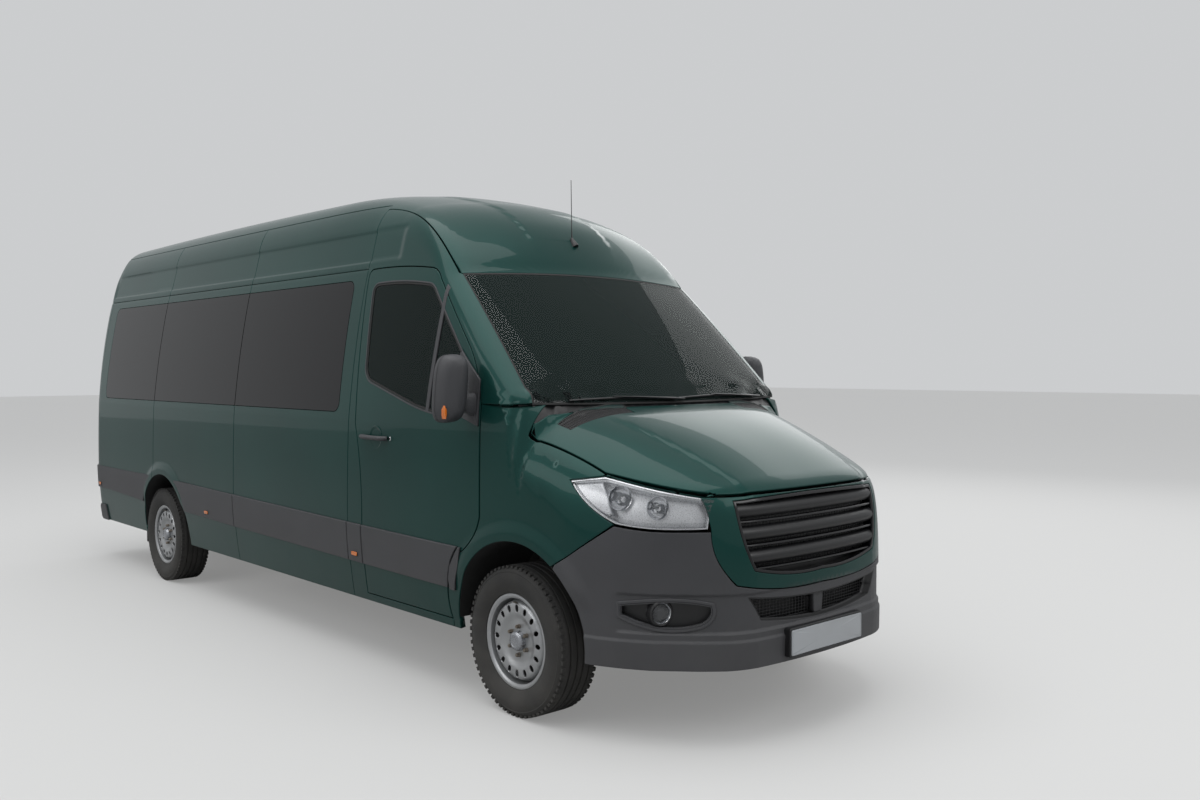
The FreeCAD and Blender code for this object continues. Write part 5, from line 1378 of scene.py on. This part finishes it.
def bar_tree():
    """A flat mesh of crossing bars of one width and height."""
    tree, given, wanted = new_group("intake mesh", "GeometryNodeTree",
                                    [("Width", FLOAT, 0.94), ("Height", FLOAT, 0.14), ("Bar", FLOAT, 0.0025),
                                     ("Finish", MATERIAL, None)], [("Geometry", GEOMETRY)])
    grid = add(tree, "GeometryNodeMeshGrid", {"Vertices X": 41, "Vertices Y": 9, "Size X": given["Width"],
                                              "Size Y": given["Height"]})
    lines = add(tree, "GeometryNodeMeshToCurve", {"Mesh": grid.outputs["Mesh"]})
    circle = add(tree, "GeometryNodeCurvePrimitiveCircle", {"Resolution": 6, "Radius": given["Bar"]})
    bars = add(tree, "GeometryNodeCurveToMesh", {"Curve": lines.outputs["Curve"], "Fill Caps": True,
                                                 "Profile Curve": circle.outputs["Curve"]})
    return finished(tree, bars.outputs["Mesh"], given, wanted)


def grown(name, tree, values, placed, body="root"):
    """What a geometry tree makes, as a plain piece moved by a function of its points in metres."""
    holder = in_scene(name + " maker", bpy.data.meshes.new(name + " maker"))
    change = holder.modifiers.new("grow", "NODES")
    change.node_group = tree
    for socket in tree.interface.items_tree:
        if socket.in_out == "INPUT" and socket.name in values:
            change[socket.identifier] = values[socket.name]
    bpy.context.view_layer.update()
    made = bpy.data.meshes.new_from_object(holder.evaluated_get(bpy.context.evaluated_depsgraph_get()))
    bpy.data.objects.remove(holder)
    made.name = name
    count = len(made.vertices)
    spots = np.zeros(count * 3)
    made.vertices.foreach_get("co", spots)
    made.vertices.foreach_set("co", placed(spots.reshape(-1, 3)).ravel())
    made.update()
    piece = in_scene(name, made)
    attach(piece, body)
    return piece


def behind_front(spots, middle_z, depth):
    """A flat mesh of bars in metres, laid at one depth behind the front surface."""
    flat = np.stack([spots[:, 0] / MM, middle_z + spots[:, 1] / MM], 1)
    surface = FRONT.lift(flat)
    surface[:, 0] -= depth - spots[:, 2] / MM
    return to_row(surface)


INTAKE_MESH = bar_tree()
grown("intake_mesh", INTAKE_MESH, {"Width": 0.84, "Height": 0.11, "Bar": 0.0022, "Finish": BLACK_PLASTIC},
      lambda spots: behind_front(spots, 566.0, 60.0))
grown("grille_mesh", INTAKE_MESH, {"Width": 0.86, "Height": 0.3, "Bar": 0.0022, "Finish": BLACK_PLASTIC},
      lambda spots: behind_front(spots, 890.0, 50.0))
VENT_Y, VENT_X = 585.0, 168.0


def over_vent(spots, side):
    """A flat mesh of bars in metres, laid just under the bonnet's surface in one vent."""
    y = VENT_Y + spots[:, 0] / MM
    x = VENT_X - 0.05 * (y - VENT_Y) + spots[:, 1] / MM
    surface = TOP.lift(np.stack([x, side * y], 1))
    surface[:, 2] -= 4.0 - spots[:, 2] / MM
    return to_row(surface)


vent_sizes = {"Width": 0.4, "Height": 0.12, "Bar": 0.0016, "Finish": BLACK_PLASTIC}
for side, name in ((RIGHT, "right"), (LEFT, "left")):
    grown("bonnet_vent_mesh_" + name, INTAKE_MESH, vent_sizes, lambda spots: over_vent(spots, side), "bonnet")


def rounded_box(low, high, radius):
    """A box with rounded edges along x, from its low corner to its high corner."""
    rows = []
    for x, inset in ((low[0], radius * 0.3), (low[0] + radius * 0.3, 0.0), (high[0] - radius * 0.3, 0.0),
                     (high[0], radius * 0.3)):
        edge = polyline(rounded(low[1] + inset, high[1] - inset, low[2] + inset, high[2] - inset, radius), True,
                        4.0)
        rows.append([np.array([x, y, z]) for y, z in edge])
    count = min(len(row) for row in rows)
    rows = [[row[int(i * len(row) / count)] for i in range(count)] for row in rows]
    return stack(rows)


# Front plate on its holder
holder = piece_of("front_plate_holder", [rounded_box((1008, -268, 353), (1047, 268, 481), 10)], BLACK_PLASTIC)
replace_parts(holder, "front_plate")
piece_of("front_plate_blank", [rounded_box((1047.3, -260, 361.5), (1050, 260, 472.5), 8)], PLATE)
plate_corners = ((-254, 367), (254, 367), (254, 467), (-254, 467), (-254, 367))
piece_of("front_plate_rim", [tube([(1050, y, z) for y, z in plate_corners], 1.2, 6)], PLATE)


# Tail lamps in four parts, rear bumper and markers
lamp_parts = [("stop", lamp_low + 300, lamp_high, RED), ("turn", lamp_low + 205, lamp_low + 297, AMBER),
              ("reverse", lamp_low + 125, lamp_low + 202, LENS), ("tail", lamp_low, lamp_low + 122, RED)]
for name, low_z, high_z, finish in lamp_parts:
    edge = join(CORNER.flat(SIDE.lift(line((lamp_front, high_z), (lamp_front, low_z)))),
                CORNER.flat(REAR.lift(line((-lamp_inner, low_z), (-lamp_inner, high_z)))))
    lamp_pieces = both_sides("tail_lamp_" + name, CORNER, [edge], finish, depth=26.0, roll=3.0, offset=2.0,
                             step=16.0)
    both_sides("tail_lamp_" + name + "_back", CORNER, [shrink(edge, -1.0)],
               CHROME if finish is LENS else BLACK_PLASTIC, depth=3.0, roll=0, offset=-25.0, step=40.0)
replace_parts(lamp_pieces[0], "tail_lamps")
bumper_high = 462.0
wrap_x = BODY_REAR + 340
wrap = join(CORNER.flat(SIDE.lift(line((CORNER_X, LOW_Z), (CORNER_X, bumper_high)))),
            CORNER.flat(REAR.lift(line((-780, bumper_high), (-780, LOW_Z)))))
SKIN_PLATE = dict(depth=14.0, offset=11.0, step=30.0, with_relief=False)
both_sides("rear_bumper_corner", CORNER, [wrap], GREY_PLASTIC, roll=0, **SKIN_PLATE)
side_wrap = loop([(CORNER_X, LOW_Z), (wrap_x, LOW_Z), (wrap_x - 20, bumper_high), (CORNER_X, bumper_high)])
both_sides("rear_bumper_end", SIDE, [side_wrap], GREY_PLASTIC, roll=0, **SKIN_PLATE)
middle_bumper = panel("rear_bumper_middle", REAR, [loop([(-780, LOW_Z), (780, LOW_Z), (780, bumper_high),
                                                         (-780, bumper_high)])], GREY_PLASTIC, roll=0,
                      **SKIN_PLATE)
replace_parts(middle_bumper, "rear_bumper")
step_edge = loop([(-560, bumper_high - 6), (560, bumper_high - 6), (590, bumper_high - 60),
                  (-590, bumper_high - 60)])
fitting("rear_bumper_step", REAR, [step_edge], RUBBER, depth=8.0, roll=3.0, offset=15.0, step=60.0)
for number, x in enumerate((-1382.0, -3420.0, -5650.0)):
    middle_z = band_z(x, False) + 46
    edge = loop(rounded(x - 30, x + 30, middle_z - 11, middle_z + 11, 9), step=3.0)
    trim("side_marker_" + str(number + 1), SIDE, [edge], AMBER, depth=8.0, roll=2.5, offset=17.0, step=14.0)
    trim("marker_rim_" + str(number + 1), SIDE, [shrink(edge, -3.5), edge], BLACK_PLASTIC, depth=8.0, roll=1.0,
         offset=14.0)


# Outside mirrors: swept housing, arm, glass and turn lamp
MIRROR_Y, MIRROR_Z, MIRROR_HALF_Y, MIRROR_HALF_Z = -1097.0, 1514.0, 71.0, 155.0
MIRROR_ACROSS, MIRROR_UP, MIRROR_COUNT = (0, 1, 0.04), (0, 0.09, 1), 48


def mirror_ring(x, grow, lean=0):
    return squircle((x, MIRROR_Y + lean, MIRROR_Z), MIRROR_HALF_Y + grow, MIRROR_HALF_Z + grow,
                    MIRROR_ACROSS, MIRROR_UP, 3.4, MIRROR_COUNT)


def open_shell(rows, bulge=0.0):
    """Rings closed only at their last end, where the middle stands out a little."""
    points, faces = stack(rows, False)
    last, middle = (len(rows) - 1) * MIRROR_COUNT, len(points)
    points.append(np.mean(rows[-1], 0) + np.array([bulge, 0, 0]))
    return points, faces + [(last + i, last + (i + 1) % MIRROR_COUNT, middle) for i in range(MIRROR_COUNT)]


outer = [mirror_ring(x, grow, lean) for x, grow, lean in (
    (-349, -3, 0), (-346, 2, 0), (-336, 5, 0), (-315, 6, 0), (-290, 3, 1), (-266, -5, 3), (-249, -18, 6),
    (-240, -36, 9), (-237, -52, 11))]
inner = [mirror_ring(x, grow) for x, grow in ((-349, -3), (-346, -9), (-334, -10))]
housing = twins("mirror_housing", [open_shell(outer, 1.5), open_shell(inner)], GREY_PLASTIC, "front_door",
                smooth=60.0)
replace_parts(housing[0], "mirror_right")
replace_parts(housing[1], "mirror_left")
for name, middle, half in (("upper", MIRROR_Z + 42, 96), ("lower", MIRROR_Z - 100, 40)):
    glass_y = MIRROR_Y - (MIRROR_Z - middle) * MIRROR_UP[1]
    glass_rows = [squircle((x, glass_y, middle), 61 - cut, half - cut, MIRROR_ACROSS, MIRROR_UP, 6.0, 44)
                  for x, cut in ((-344, 0.8), (-343, 0), (-338, 0))]
    twins("mirror_glass_" + name, [stack(glass_rows)], CHROME, "front_door")
arm_rows = []
for y, z, half_x, half_z in ((-948, 1436, 40, 60), (-985, 1436, 38, 56), (-1012, 1440, 32, 46),
                             (-1035, 1446, 28, 40), (-1062, 1450, 24, 34)):
    arm_rows.append(squircle((-296, y, z), half_x, half_z, (1, 0, 0), (0, 0, 1), 3.0, 32))
twins("mirror_arm", [stack(arm_rows)], GREY_PLASTIC, "front_door", smooth=60.0)
lamp_rows = []
for share, out in ((0.0, 0.0), (0.3, 5.0), (0.7, 5.5), (1.0, 0.0)):
    z = 1374 + 62 * share
    lamp_rows.append([np.array([x, -1160 - 4 * share - out * bulge, z]) for x, bulge in
                      ((-322, 0), (-305, 0.8), (-285, 1.0), (-265, 0.9), (-250, 0.2), (-252, -1.5),
                       (-318, -1.5))])
twins("mirror_turn_lamp", [stack(lamp_rows)], AMBER, "front_door", smooth=60.0)
twins("mirror_seam", [stack([mirror_ring(-318, 6.6), mirror_ring(-314, 6.6)], False)], BLACK_PLASTIC,
      "front_door")

# Door handles over a round cup, and their locks
handle_z, cup_x = 1240.0, -1160.0
cup_at = SIDE.lift(np.array([[cup_x, handle_z]]))[0]
CUP = [(0, -4), (30, -3.5), (48, -1), (56, 1.6), (60, 2.2), (62, 0.6), (60, -6), (0, -9)]
twins("handle_cup", [lathe(CUP, cup_at, (0, -1, 0), 44)], PAINT, "front_door")
grip_y = cup_at[1]
grip_path = [(-1282, grip_y - 4, 1240), (-1274, grip_y - 20, 1240), (-1250, grip_y - 30, 1240),
             (-1160, grip_y - 33, 1239), (-1075, grip_y - 29, 1238), (-1052, grip_y - 19, 1238),
             (-1046, grip_y - 4, 1238)]
twins("door_handle_grip", [tube(grip_path, [14, 16, 16, 15, 16, 16, 14], 18, 0.8)], GREY_PLASTIC, "front_door",
      smooth=60.0)
twins("door_lock", [lathe([(0, 3), (9, 3), (11, 1), (11, -4)], (-1020, grip_y, 1238), (0, -1, 0), 24)], CHROME,
      "front_door")

# Wipers, antenna and mud flaps
for number, (low_y, high_y) in enumerate(((-690, -30), (-10, 640))):
    ys = np.linspace(low_y, high_y, 26)
    base = FRONT.lift(np.stack([ys, 1452 + 8 * np.sin((ys - low_y) / (high_y - low_y) * math.pi)], 1))
    blade = [tube([p + np.array([8, 0, 4]) for p in base], 5.0, 8),
             tube([p + np.array([4, 0, 2]) for p in base], 3.5, 8)]
    arm_spots = [(low_y + 250, 1462), (low_y + 420, 1456), (high_y + 40, 1442)]
    arm = [FRONT.lift(np.array([spot]))[0] + np.array([16, 0, 10]) for spot in arm_spots]
    blade.append(tube(arm, [4.5, 7, 10], 10, 0.6))
    wiper = piece_of("wiper_" + str(number + 1), blade, BLACK_PLASTIC)
    if number == 0:
        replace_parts(wiper, "wipers")
base_rows = []
for share, half_x, half_y in ((0, 42, 21), (0.2, 38, 19), (0.5, 26, 14), (0.8, 15, 9), (1.0, 7, 6)):
    base_rows.append(squircle((-688 - 16 * share, 0, 2276 + 62 * share), half_x, half_y, (0.86, 0, 0.5),
                              (0, 1, 0), 2.2, 28))
mast = tube([(-700, 0, 2332), (-702, 0, 2400), (-706, 0, 2664)], [4.2, 2.6, 1.8], 10)
antenna = piece_of("roof_antenna", [stack(base_rows), mast], BLACK_PLASTIC, smooth=60.0)
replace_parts(antenna, "antenna")
flap_edge = loop([(-4716, 250), (-4716, 560), (-4700, 600), (-4690, 600), (-4690, 250)])
flap_rows = [[np.array([x, y, z]) for x, z in flap_edge] for y in (-955, -740)]
twins("mud_flap", [stack(flap_rows)], RUBBER)


# Wheels: pressed dish with vents, barrel, cap, nuts, valve and tyre
DISH = [(0, 71), (44, 71), (94, 71), (108, 74), (118, 82), (132, 87), (168, 87), (178, 80), (186, 62),
        (191, 44), (194, 36)]
TRACK_HALF, WHEEL_Z, VENTS, NUTS = 860.0, 350.0, 16, 6
DISC = Disc(DISH)


def disc_loops():
    circle = np.radians(np.linspace(0, 360, 121)[:-1])
    loops = [np.stack([193 * np.cos(circle), 193 * np.sin(circle)], 1)]
    for i in range(VENTS):
        turn = 2 * math.pi * i / VENTS
        out, along = np.array([math.cos(turn), math.sin(turn)]), np.array([-math.sin(turn), math.cos(turn)])
        spin = np.radians(np.linspace(0, 360, 25)[:-1])
        loops.append(np.array([out * (152 + 18 * math.cos(t)) + along * 11.5 * math.sin(t) for t in spin]))
    return loops


dish_data = panel_data(DISC, disc_loops(), step=12.0, depth=5.0, roll=2.0, with_relief=False)
dish_points, dish_faces = clean(*dish_data)[:2]
BARREL = [(193, 34), (197, 60), (198, 88), (206, 95), (213, 97), (219, 96), (221, 92), (220, 89), (208, 86),
          (203, 82), (203, 56), (184, 12), (184, -50), (203, -64), (203, -84), (208, -88), (220, -91),
          (220, -96), (212, -97), (197, -92), (197, -66), (178, -54), (178, 16), (190, 30), (193, 34)]
CAP = [(47, 70), (46, 84), (43, 94), (38, 99), (28, 101), (26, 99.5), (0, 99.5)]
NUT = [(11, 0), (11, 5), (9.4, 6), (9.4, 17), (7.5, 20), (0, 21)]
SIDEWALL = [(204, 84), (212, 90), (221, 93), (224, 99), (240, 107), (262, 115), (283, 117.5), (300, 116.5),
            (318, 110), (322, 111), (328, 106), (336, 100), (342, 92)]


def tyre_profile():
    """One side's wall, four grooves across the tread, and the other side's wall."""
    found = [(radius, along) for radius, along in SIDEWALL]
    edges = [(78, 350), (63, 350), (61, 342), (54, 342), (52, 350), (24, 350), (22, 342), (14, 342), (12, 350)]
    found += [(radius, along) for along, radius in edges]
    found += [(radius, -along) for along, radius in edges[::-1]]
    return found + [(radius, -along) for radius, along in SIDEWALL[::-1]]


def sipe_tree():
    """Short blocks round a tyre's shoulder."""
    tree, given, wanted = new_group("tyre shoulder blocks", "GeometryNodeTree",
                                    [("Radius", FLOAT, 0.344), ("Offset", FLOAT, 0.088), ("Count", INTEGER, 60),
                                     ("Block", VECTOR, (0.01, 0.02, 0.008)), ("Finish", MATERIAL, None)],
                                    [("Geometry", GEOMETRY)])
    circle = add(tree, "GeometryNodeCurvePrimitiveCircle", {"Resolution": given["Count"],
                                                            "Radius": given["Radius"]})
    spots = add(tree, "GeometryNodeCurveToPoints", {"Curve": circle.outputs["Curve"]}, mode="EVALUATED")
    block = add(tree, "GeometryNodeMeshCube", {"Size": given["Block"]})
    placed = add(tree, "GeometryNodeInstanceOnPoints", {"Points": spots.outputs["Points"],
                                                        "Instance": block.outputs["Mesh"],
                                                        "Rotation": spots.outputs["Rotation"]})
    lift = add(tree, "ShaderNodeCombineXYZ", {"Z": given["Offset"]})
    shift = add(tree, "GeometryNodeTransform", {"Geometry": placed.outputs["Instances"],
                                                "Translation": lift.outputs[0]})
    return finished(tree, shift.outputs["Geometry"], given, wanted)


BLOCKS = sipe_tree()


def wheel(place, x, side):
    """One wheel with its pieces on its own body; everything is turned for its side."""
    middle = np.array([x, side * TRACK_HALF, WHEEL_Z])
    body = "wheel_" + place

    def put(some):
        return [middle + np.array([p[0], -side * p[1], p[2]]) for p in some]

    dish = piece_of("rim_dish_" + place, [(put(dish_points), dish_faces)], SILVER, body, smooth=35.0)
    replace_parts(dish, "rim_" + place)
    for name, profile, finish in (("rim_barrel_", BARREL, SILVER), ("hub_cap_", CAP, LAMP_GREY)):
        some_points, some_faces = lathe(profile, (0, 0, 0), (0, -1, 0), 96)
        piece_of(name + place, [(put(some_points), some_faces)], finish, body, smooth=35.0)
    nuts = []
    for i in range(NUTS):
        turn = 2 * math.pi * (i + 0.5) / NUTS
        some_points, some_faces = lathe(NUT, (66 * math.cos(turn), -71, 66 * math.sin(turn)), (0, -1, 0), 6)
        nuts.append((put(some_points), some_faces))
    valve_points, valve_faces = tube([(0, -84, 176), (0, -92, 181), (0, -108, 184)], [4, 4, 3], 10)
    nuts.append((put(valve_points), valve_faces))
    piece_of("wheel_nuts_" + place, nuts, STEEL, body, smooth=30.0)
    some_points, some_faces = lathe(tyre_profile(), (0, 0, 0), (0, -1, 0), 128)
    tyre = piece_of("tyre_" + place + "_rubber", [(put(some_points), some_faces)], TYRE, body, smooth=30.0)
    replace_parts(tyre, "tyre_" + place)

    def laid(spots):
        return to_row(middle) + np.stack([spots[:, 0], spots[:, 2], spots[:, 1]], 1)

    for number, offset in enumerate((-0.0905, 0.0905)):
        sizes = {"Radius": 0.3425, "Offset": offset, "Count": 66, "Block": (0.0125, 0.024, 0.018),
                 "Finish": TYRE}
        blocks = grown("tyre_blocks_" + place + "_" + str(number + 1), BLOCKS, sizes, laid, body)
        blocks.data.flip_normals()


for place, x, side in (("front_right", 0.0, RIGHT), ("front_left", 0.0, LEFT),
                       ("rear_right", -WHEELBASE, RIGHT), ("rear_left", -WHEELBASE, LEFT)):
    wheel(place, x, side)


# Seats: each a padded back with a narrower head rest and a padded cushion, with sewn channels
SEAT_BACK = [(10, 992), (78, 992), (82, 1080), (66, 1100, 1), (52, 1134), (-98, 1702), (-106, 1836, 1),
             (-150, 1862), (-194, 1846, 1), (-198, 1792), (-54, 1124)]
SEAT_CUSHION = [(98, 994), (438, 992), (494, 1004, 1), (503, 1060), (494, 1099, 1), (455, 1105), (112, 1079)]


def pad_rings(outline, x, middle_y, width, head):
    """Rings across a pad: rounded edges, a crown and two sewn channels; the head rest is narrower."""
    edge = loop(outline, step=16.0)
    half = width / 2 - 5
    channel = 0.27 * width
    spots = [half * share for share in (0.5, 0.36, 0.2, 0.0)] + [channel + step for step in (10, 4, 0, -4, -10)]
    spots += [half - step for step in (0, 3, 9, 18, 30)]
    spots = sorted({round(s, 2) for s in spots if s >= 0} | {-round(s, 2) for s in spots if s > 0})
    rings = []
    for y in spots:
        away = min((half - abs(y)) / 26, 1.0)
        inset = 3.0 + 20.0 * (1 - math.sqrt(1 - (1 - away) ** 2))
        inset += 4.0 * (y / half) ** 2 + 5.0 * math.exp(-((abs(y) - channel) / 4.0) ** 2)
        ring_points = shrink(edge, inset)
        narrow = 1 - 0.36 * smooth_step(ring_points[:, 1], 1620, 1700) * head
        rings.append([np.array([x + a, middle_y + y * k, b]) for (a, b), k in zip(ring_points, narrow)])
    return rings


seat_places = [(-1270, -440, 490), (-1270, 205, 410), (-1270, 625, 410)]
seat_places += [(x, y, 430) for x in (-2160, -2940, -3720, -4500) for y in (-640, -200, 640)]
seat_places += [(-5340, y, 430) for y in (-645, -214, 214, 645)]
for number, (x, y, width) in enumerate(seat_places):
    back = piece_of("seat_back_" + str(number + 1), [stack(pad_rings(SEAT_BACK, x, y, width, 1))], CLOTH,
                    smooth=60.0)
    cushion = piece_of("seat_cushion_" + str(number + 1), [stack(pad_rings(SEAT_CUSHION, x, y, width, 0))],
                       CLOTH, smooth=60.0)
    if number == 0:
        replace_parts(cushion, "seats")

# Materials for the CAD pieces that stay as they are
SLOT_FINISH = {
    "paint": PAINT, "grey_plastic": GREY_PLASTIC, "black_plastic": BLACK_PLASTIC, "clear_glass": CLEAR,
    "tinted_glass": TINTED, "lamp_lens": LENS, "red_lens": RED, "plate": PLATE, "underbody": UNDERBODY,
    "cast_metal": CAST, "exhaust_steel": STEEL, "wheel_steel": SILVER, "tyre": TYRE, "seat_fabric": CLOTH,
}
for name, node in nodes.items():
    for slot in node.material_slots:
        slot.material = SLOT_FINISH.get(slot.material.name.split(".")[0], UNDERBODY)
for slot in nodes["dashboard"].material_slots:
    slot.material = DASH
SLOT_OF = {finish.name: slot for slot, finish in SLOT_FINISH.items()}
SLOT_OF.update({GLOSS_BLACK.name: "black_plastic", RUBBER.name: "black_plastic", LAMP_SILVER.name: "lamp_lens",
                LAMP_GREY.name: "wheel_steel", CHROME.name: "lamp_lens", AMBER.name: "red_lens",
                INNER.name: "paint", PRIMER.name: "paint", DASH.name: "black_plastic"})

# Floor, lights and camera
for spare in [o for o in bpy.data.objects if o.name in ("Cube", "Light", "Camera")]:
    bpy.data.objects.remove(spare)


def seen_by(tree, *kinds):
    """1 for a ray of any of these kinds, and 0 for others."""
    path = add(tree, "ShaderNodeLightPath").outputs
    found = path[kinds[0]]
    for kind in kinds[1:]:
        found = add(tree, "ShaderNodeMath", {0: found, 1: path[kind]}, operation="MAXIMUM").outputs[0]
    return found


def pale_floor():
    """A pale surface that is lifted towards white where it is seen, and keeps its shadow."""
    material, tree, shader = new_material("pale floor")
    shader.inputs["Base Color"].default_value = (0.36, 0.36, 0.355, 1.0)
    shader.inputs["Roughness"].default_value = 0.9
    shader.inputs["Emission Color"].default_value = (1.0, 1.0, 0.99, 1.0)
    seen = seen_by(tree, "Is Camera Ray", "Is Transmission Ray")
    level = add(tree, "ShaderNodeMath", {0: seen, 1: 0.22}, operation="MULTIPLY")
    link(tree, level.outputs[0], shader.inputs["Emission Strength"])
    return material


floor_mesh = bpy.data.meshes.new("floor")
FLOOR_HALF = 60.0
corners = [(a * FLOOR_HALF, b * FLOOR_HALF, 0) for a, b in ((-1, -1), (1, -1), (1, 1), (-1, 1))]
floor_mesh.from_pydata(corners, [], [(0, 1, 2, 3)])
floor_mesh.materials.append(pale_floor())
in_scene("floor", floor_mesh)

world = bpy.data.worlds.new("studio")
bpy.context.scene.world = world
world.use_nodes = True
tree = world.node_tree
background = tree.nodes["Background"]
background.inputs["Strength"].default_value = 0.9
direction = add(tree, "ShaderNodeTexCoord").outputs["Generated"]
upward = add(tree, "ShaderNodeSeparateXYZ", {0: direction}).outputs["Z"]
sky = add(tree, "ShaderNodeValToRGB", {"Fac": upward})
sky.color_ramp.elements[0].position = 0.0
sky.color_ramp.elements[0].color = (0.14, 0.145, 0.15, 1.0)
sky.color_ramp.elements[1].position = 0.75
sky.color_ramp.elements[1].color = (0.95, 0.97, 1.0, 1.0)
for spot, level in ((0.1, 0.17), (0.22, 0.5)):
    element = sky.color_ramp.elements.new(spot)
    element.color = (level, level * 1.01, level * 1.03, 1.0)
link(tree, sky.outputs["Color"], background.inputs["Color"])
pale = add(tree, "ShaderNodeBackground", {"Color": (0.6, 0.61, 0.62, 1.0), "Strength": 1.0})
seen = seen_by(tree, "Is Camera Ray", "Is Glossy Ray", "Is Transmission Ray")
choose = add(tree, "ShaderNodeMixShader", {"Fac": seen, 1: background.outputs[0], 2: pale.outputs[0]})
link(tree, choose.outputs[0], tree.nodes["World Output"].inputs["Surface"])


def soft_light(name, place, target, width, height, watts):
    data = bpy.data.lights.new(name, "AREA")
    data.shape = "RECTANGLE"
    data.size, data.size_y = width, height
    data.energy = watts
    lamp = in_scene(name, data)
    lamp.location = place
    lamp.rotation_euler = (Vector(target) - Vector(place)).to_track_quat("-Z", "Y").to_euler()


soft_light("sky panel", (1.0, -2.0, 10.0), (0, 0, 1.2), 11.0, 9.0, 620)
soft_light("near side panel", (-2.0, -13.0, 8.0), (0, 0, 1.2), 12.0, 4.0, 330)
soft_light("front panel", (11.0, 2.5, 7.5), (1.5, 0, 1.2), 8.0, 4.0, 230)
soft_light("far side panel", (-1.0, 9.0, 6.0), (0, 0, 1.2), 9.0, 5.0, 200)

lens = bpy.data.cameras.new("photo camera")
lens.sensor_width = 36.0
lens.lens = 32.24
lens.clip_end = 200.0
camera = in_scene("photo camera", lens)
bpy.context.scene.camera = camera
yaw, pitch, roll = (math.radians(a) for a in (137.768, -1.791, -0.121))
ahead = Vector((math.cos(pitch) * math.cos(yaw), math.cos(pitch) * math.sin(yaw), math.sin(pitch)))
rightward = ahead.cross(Vector((0, 0, 1))).normalized()
upward = rightward.cross(ahead)
tilted_right = math.cos(roll) * rightward + math.sin(roll) * upward
tilted_up = math.cos(roll) * upward - math.sin(roll) * rightward
place = Matrix((tilted_right, tilted_up, -ahead)).transposed().to_4x4()
place.translation = Vector((6.3374, -3.97, 1.6162))
camera.matrix_world = place
bpy.context.scene.view_settings.view_transform = "Standard"
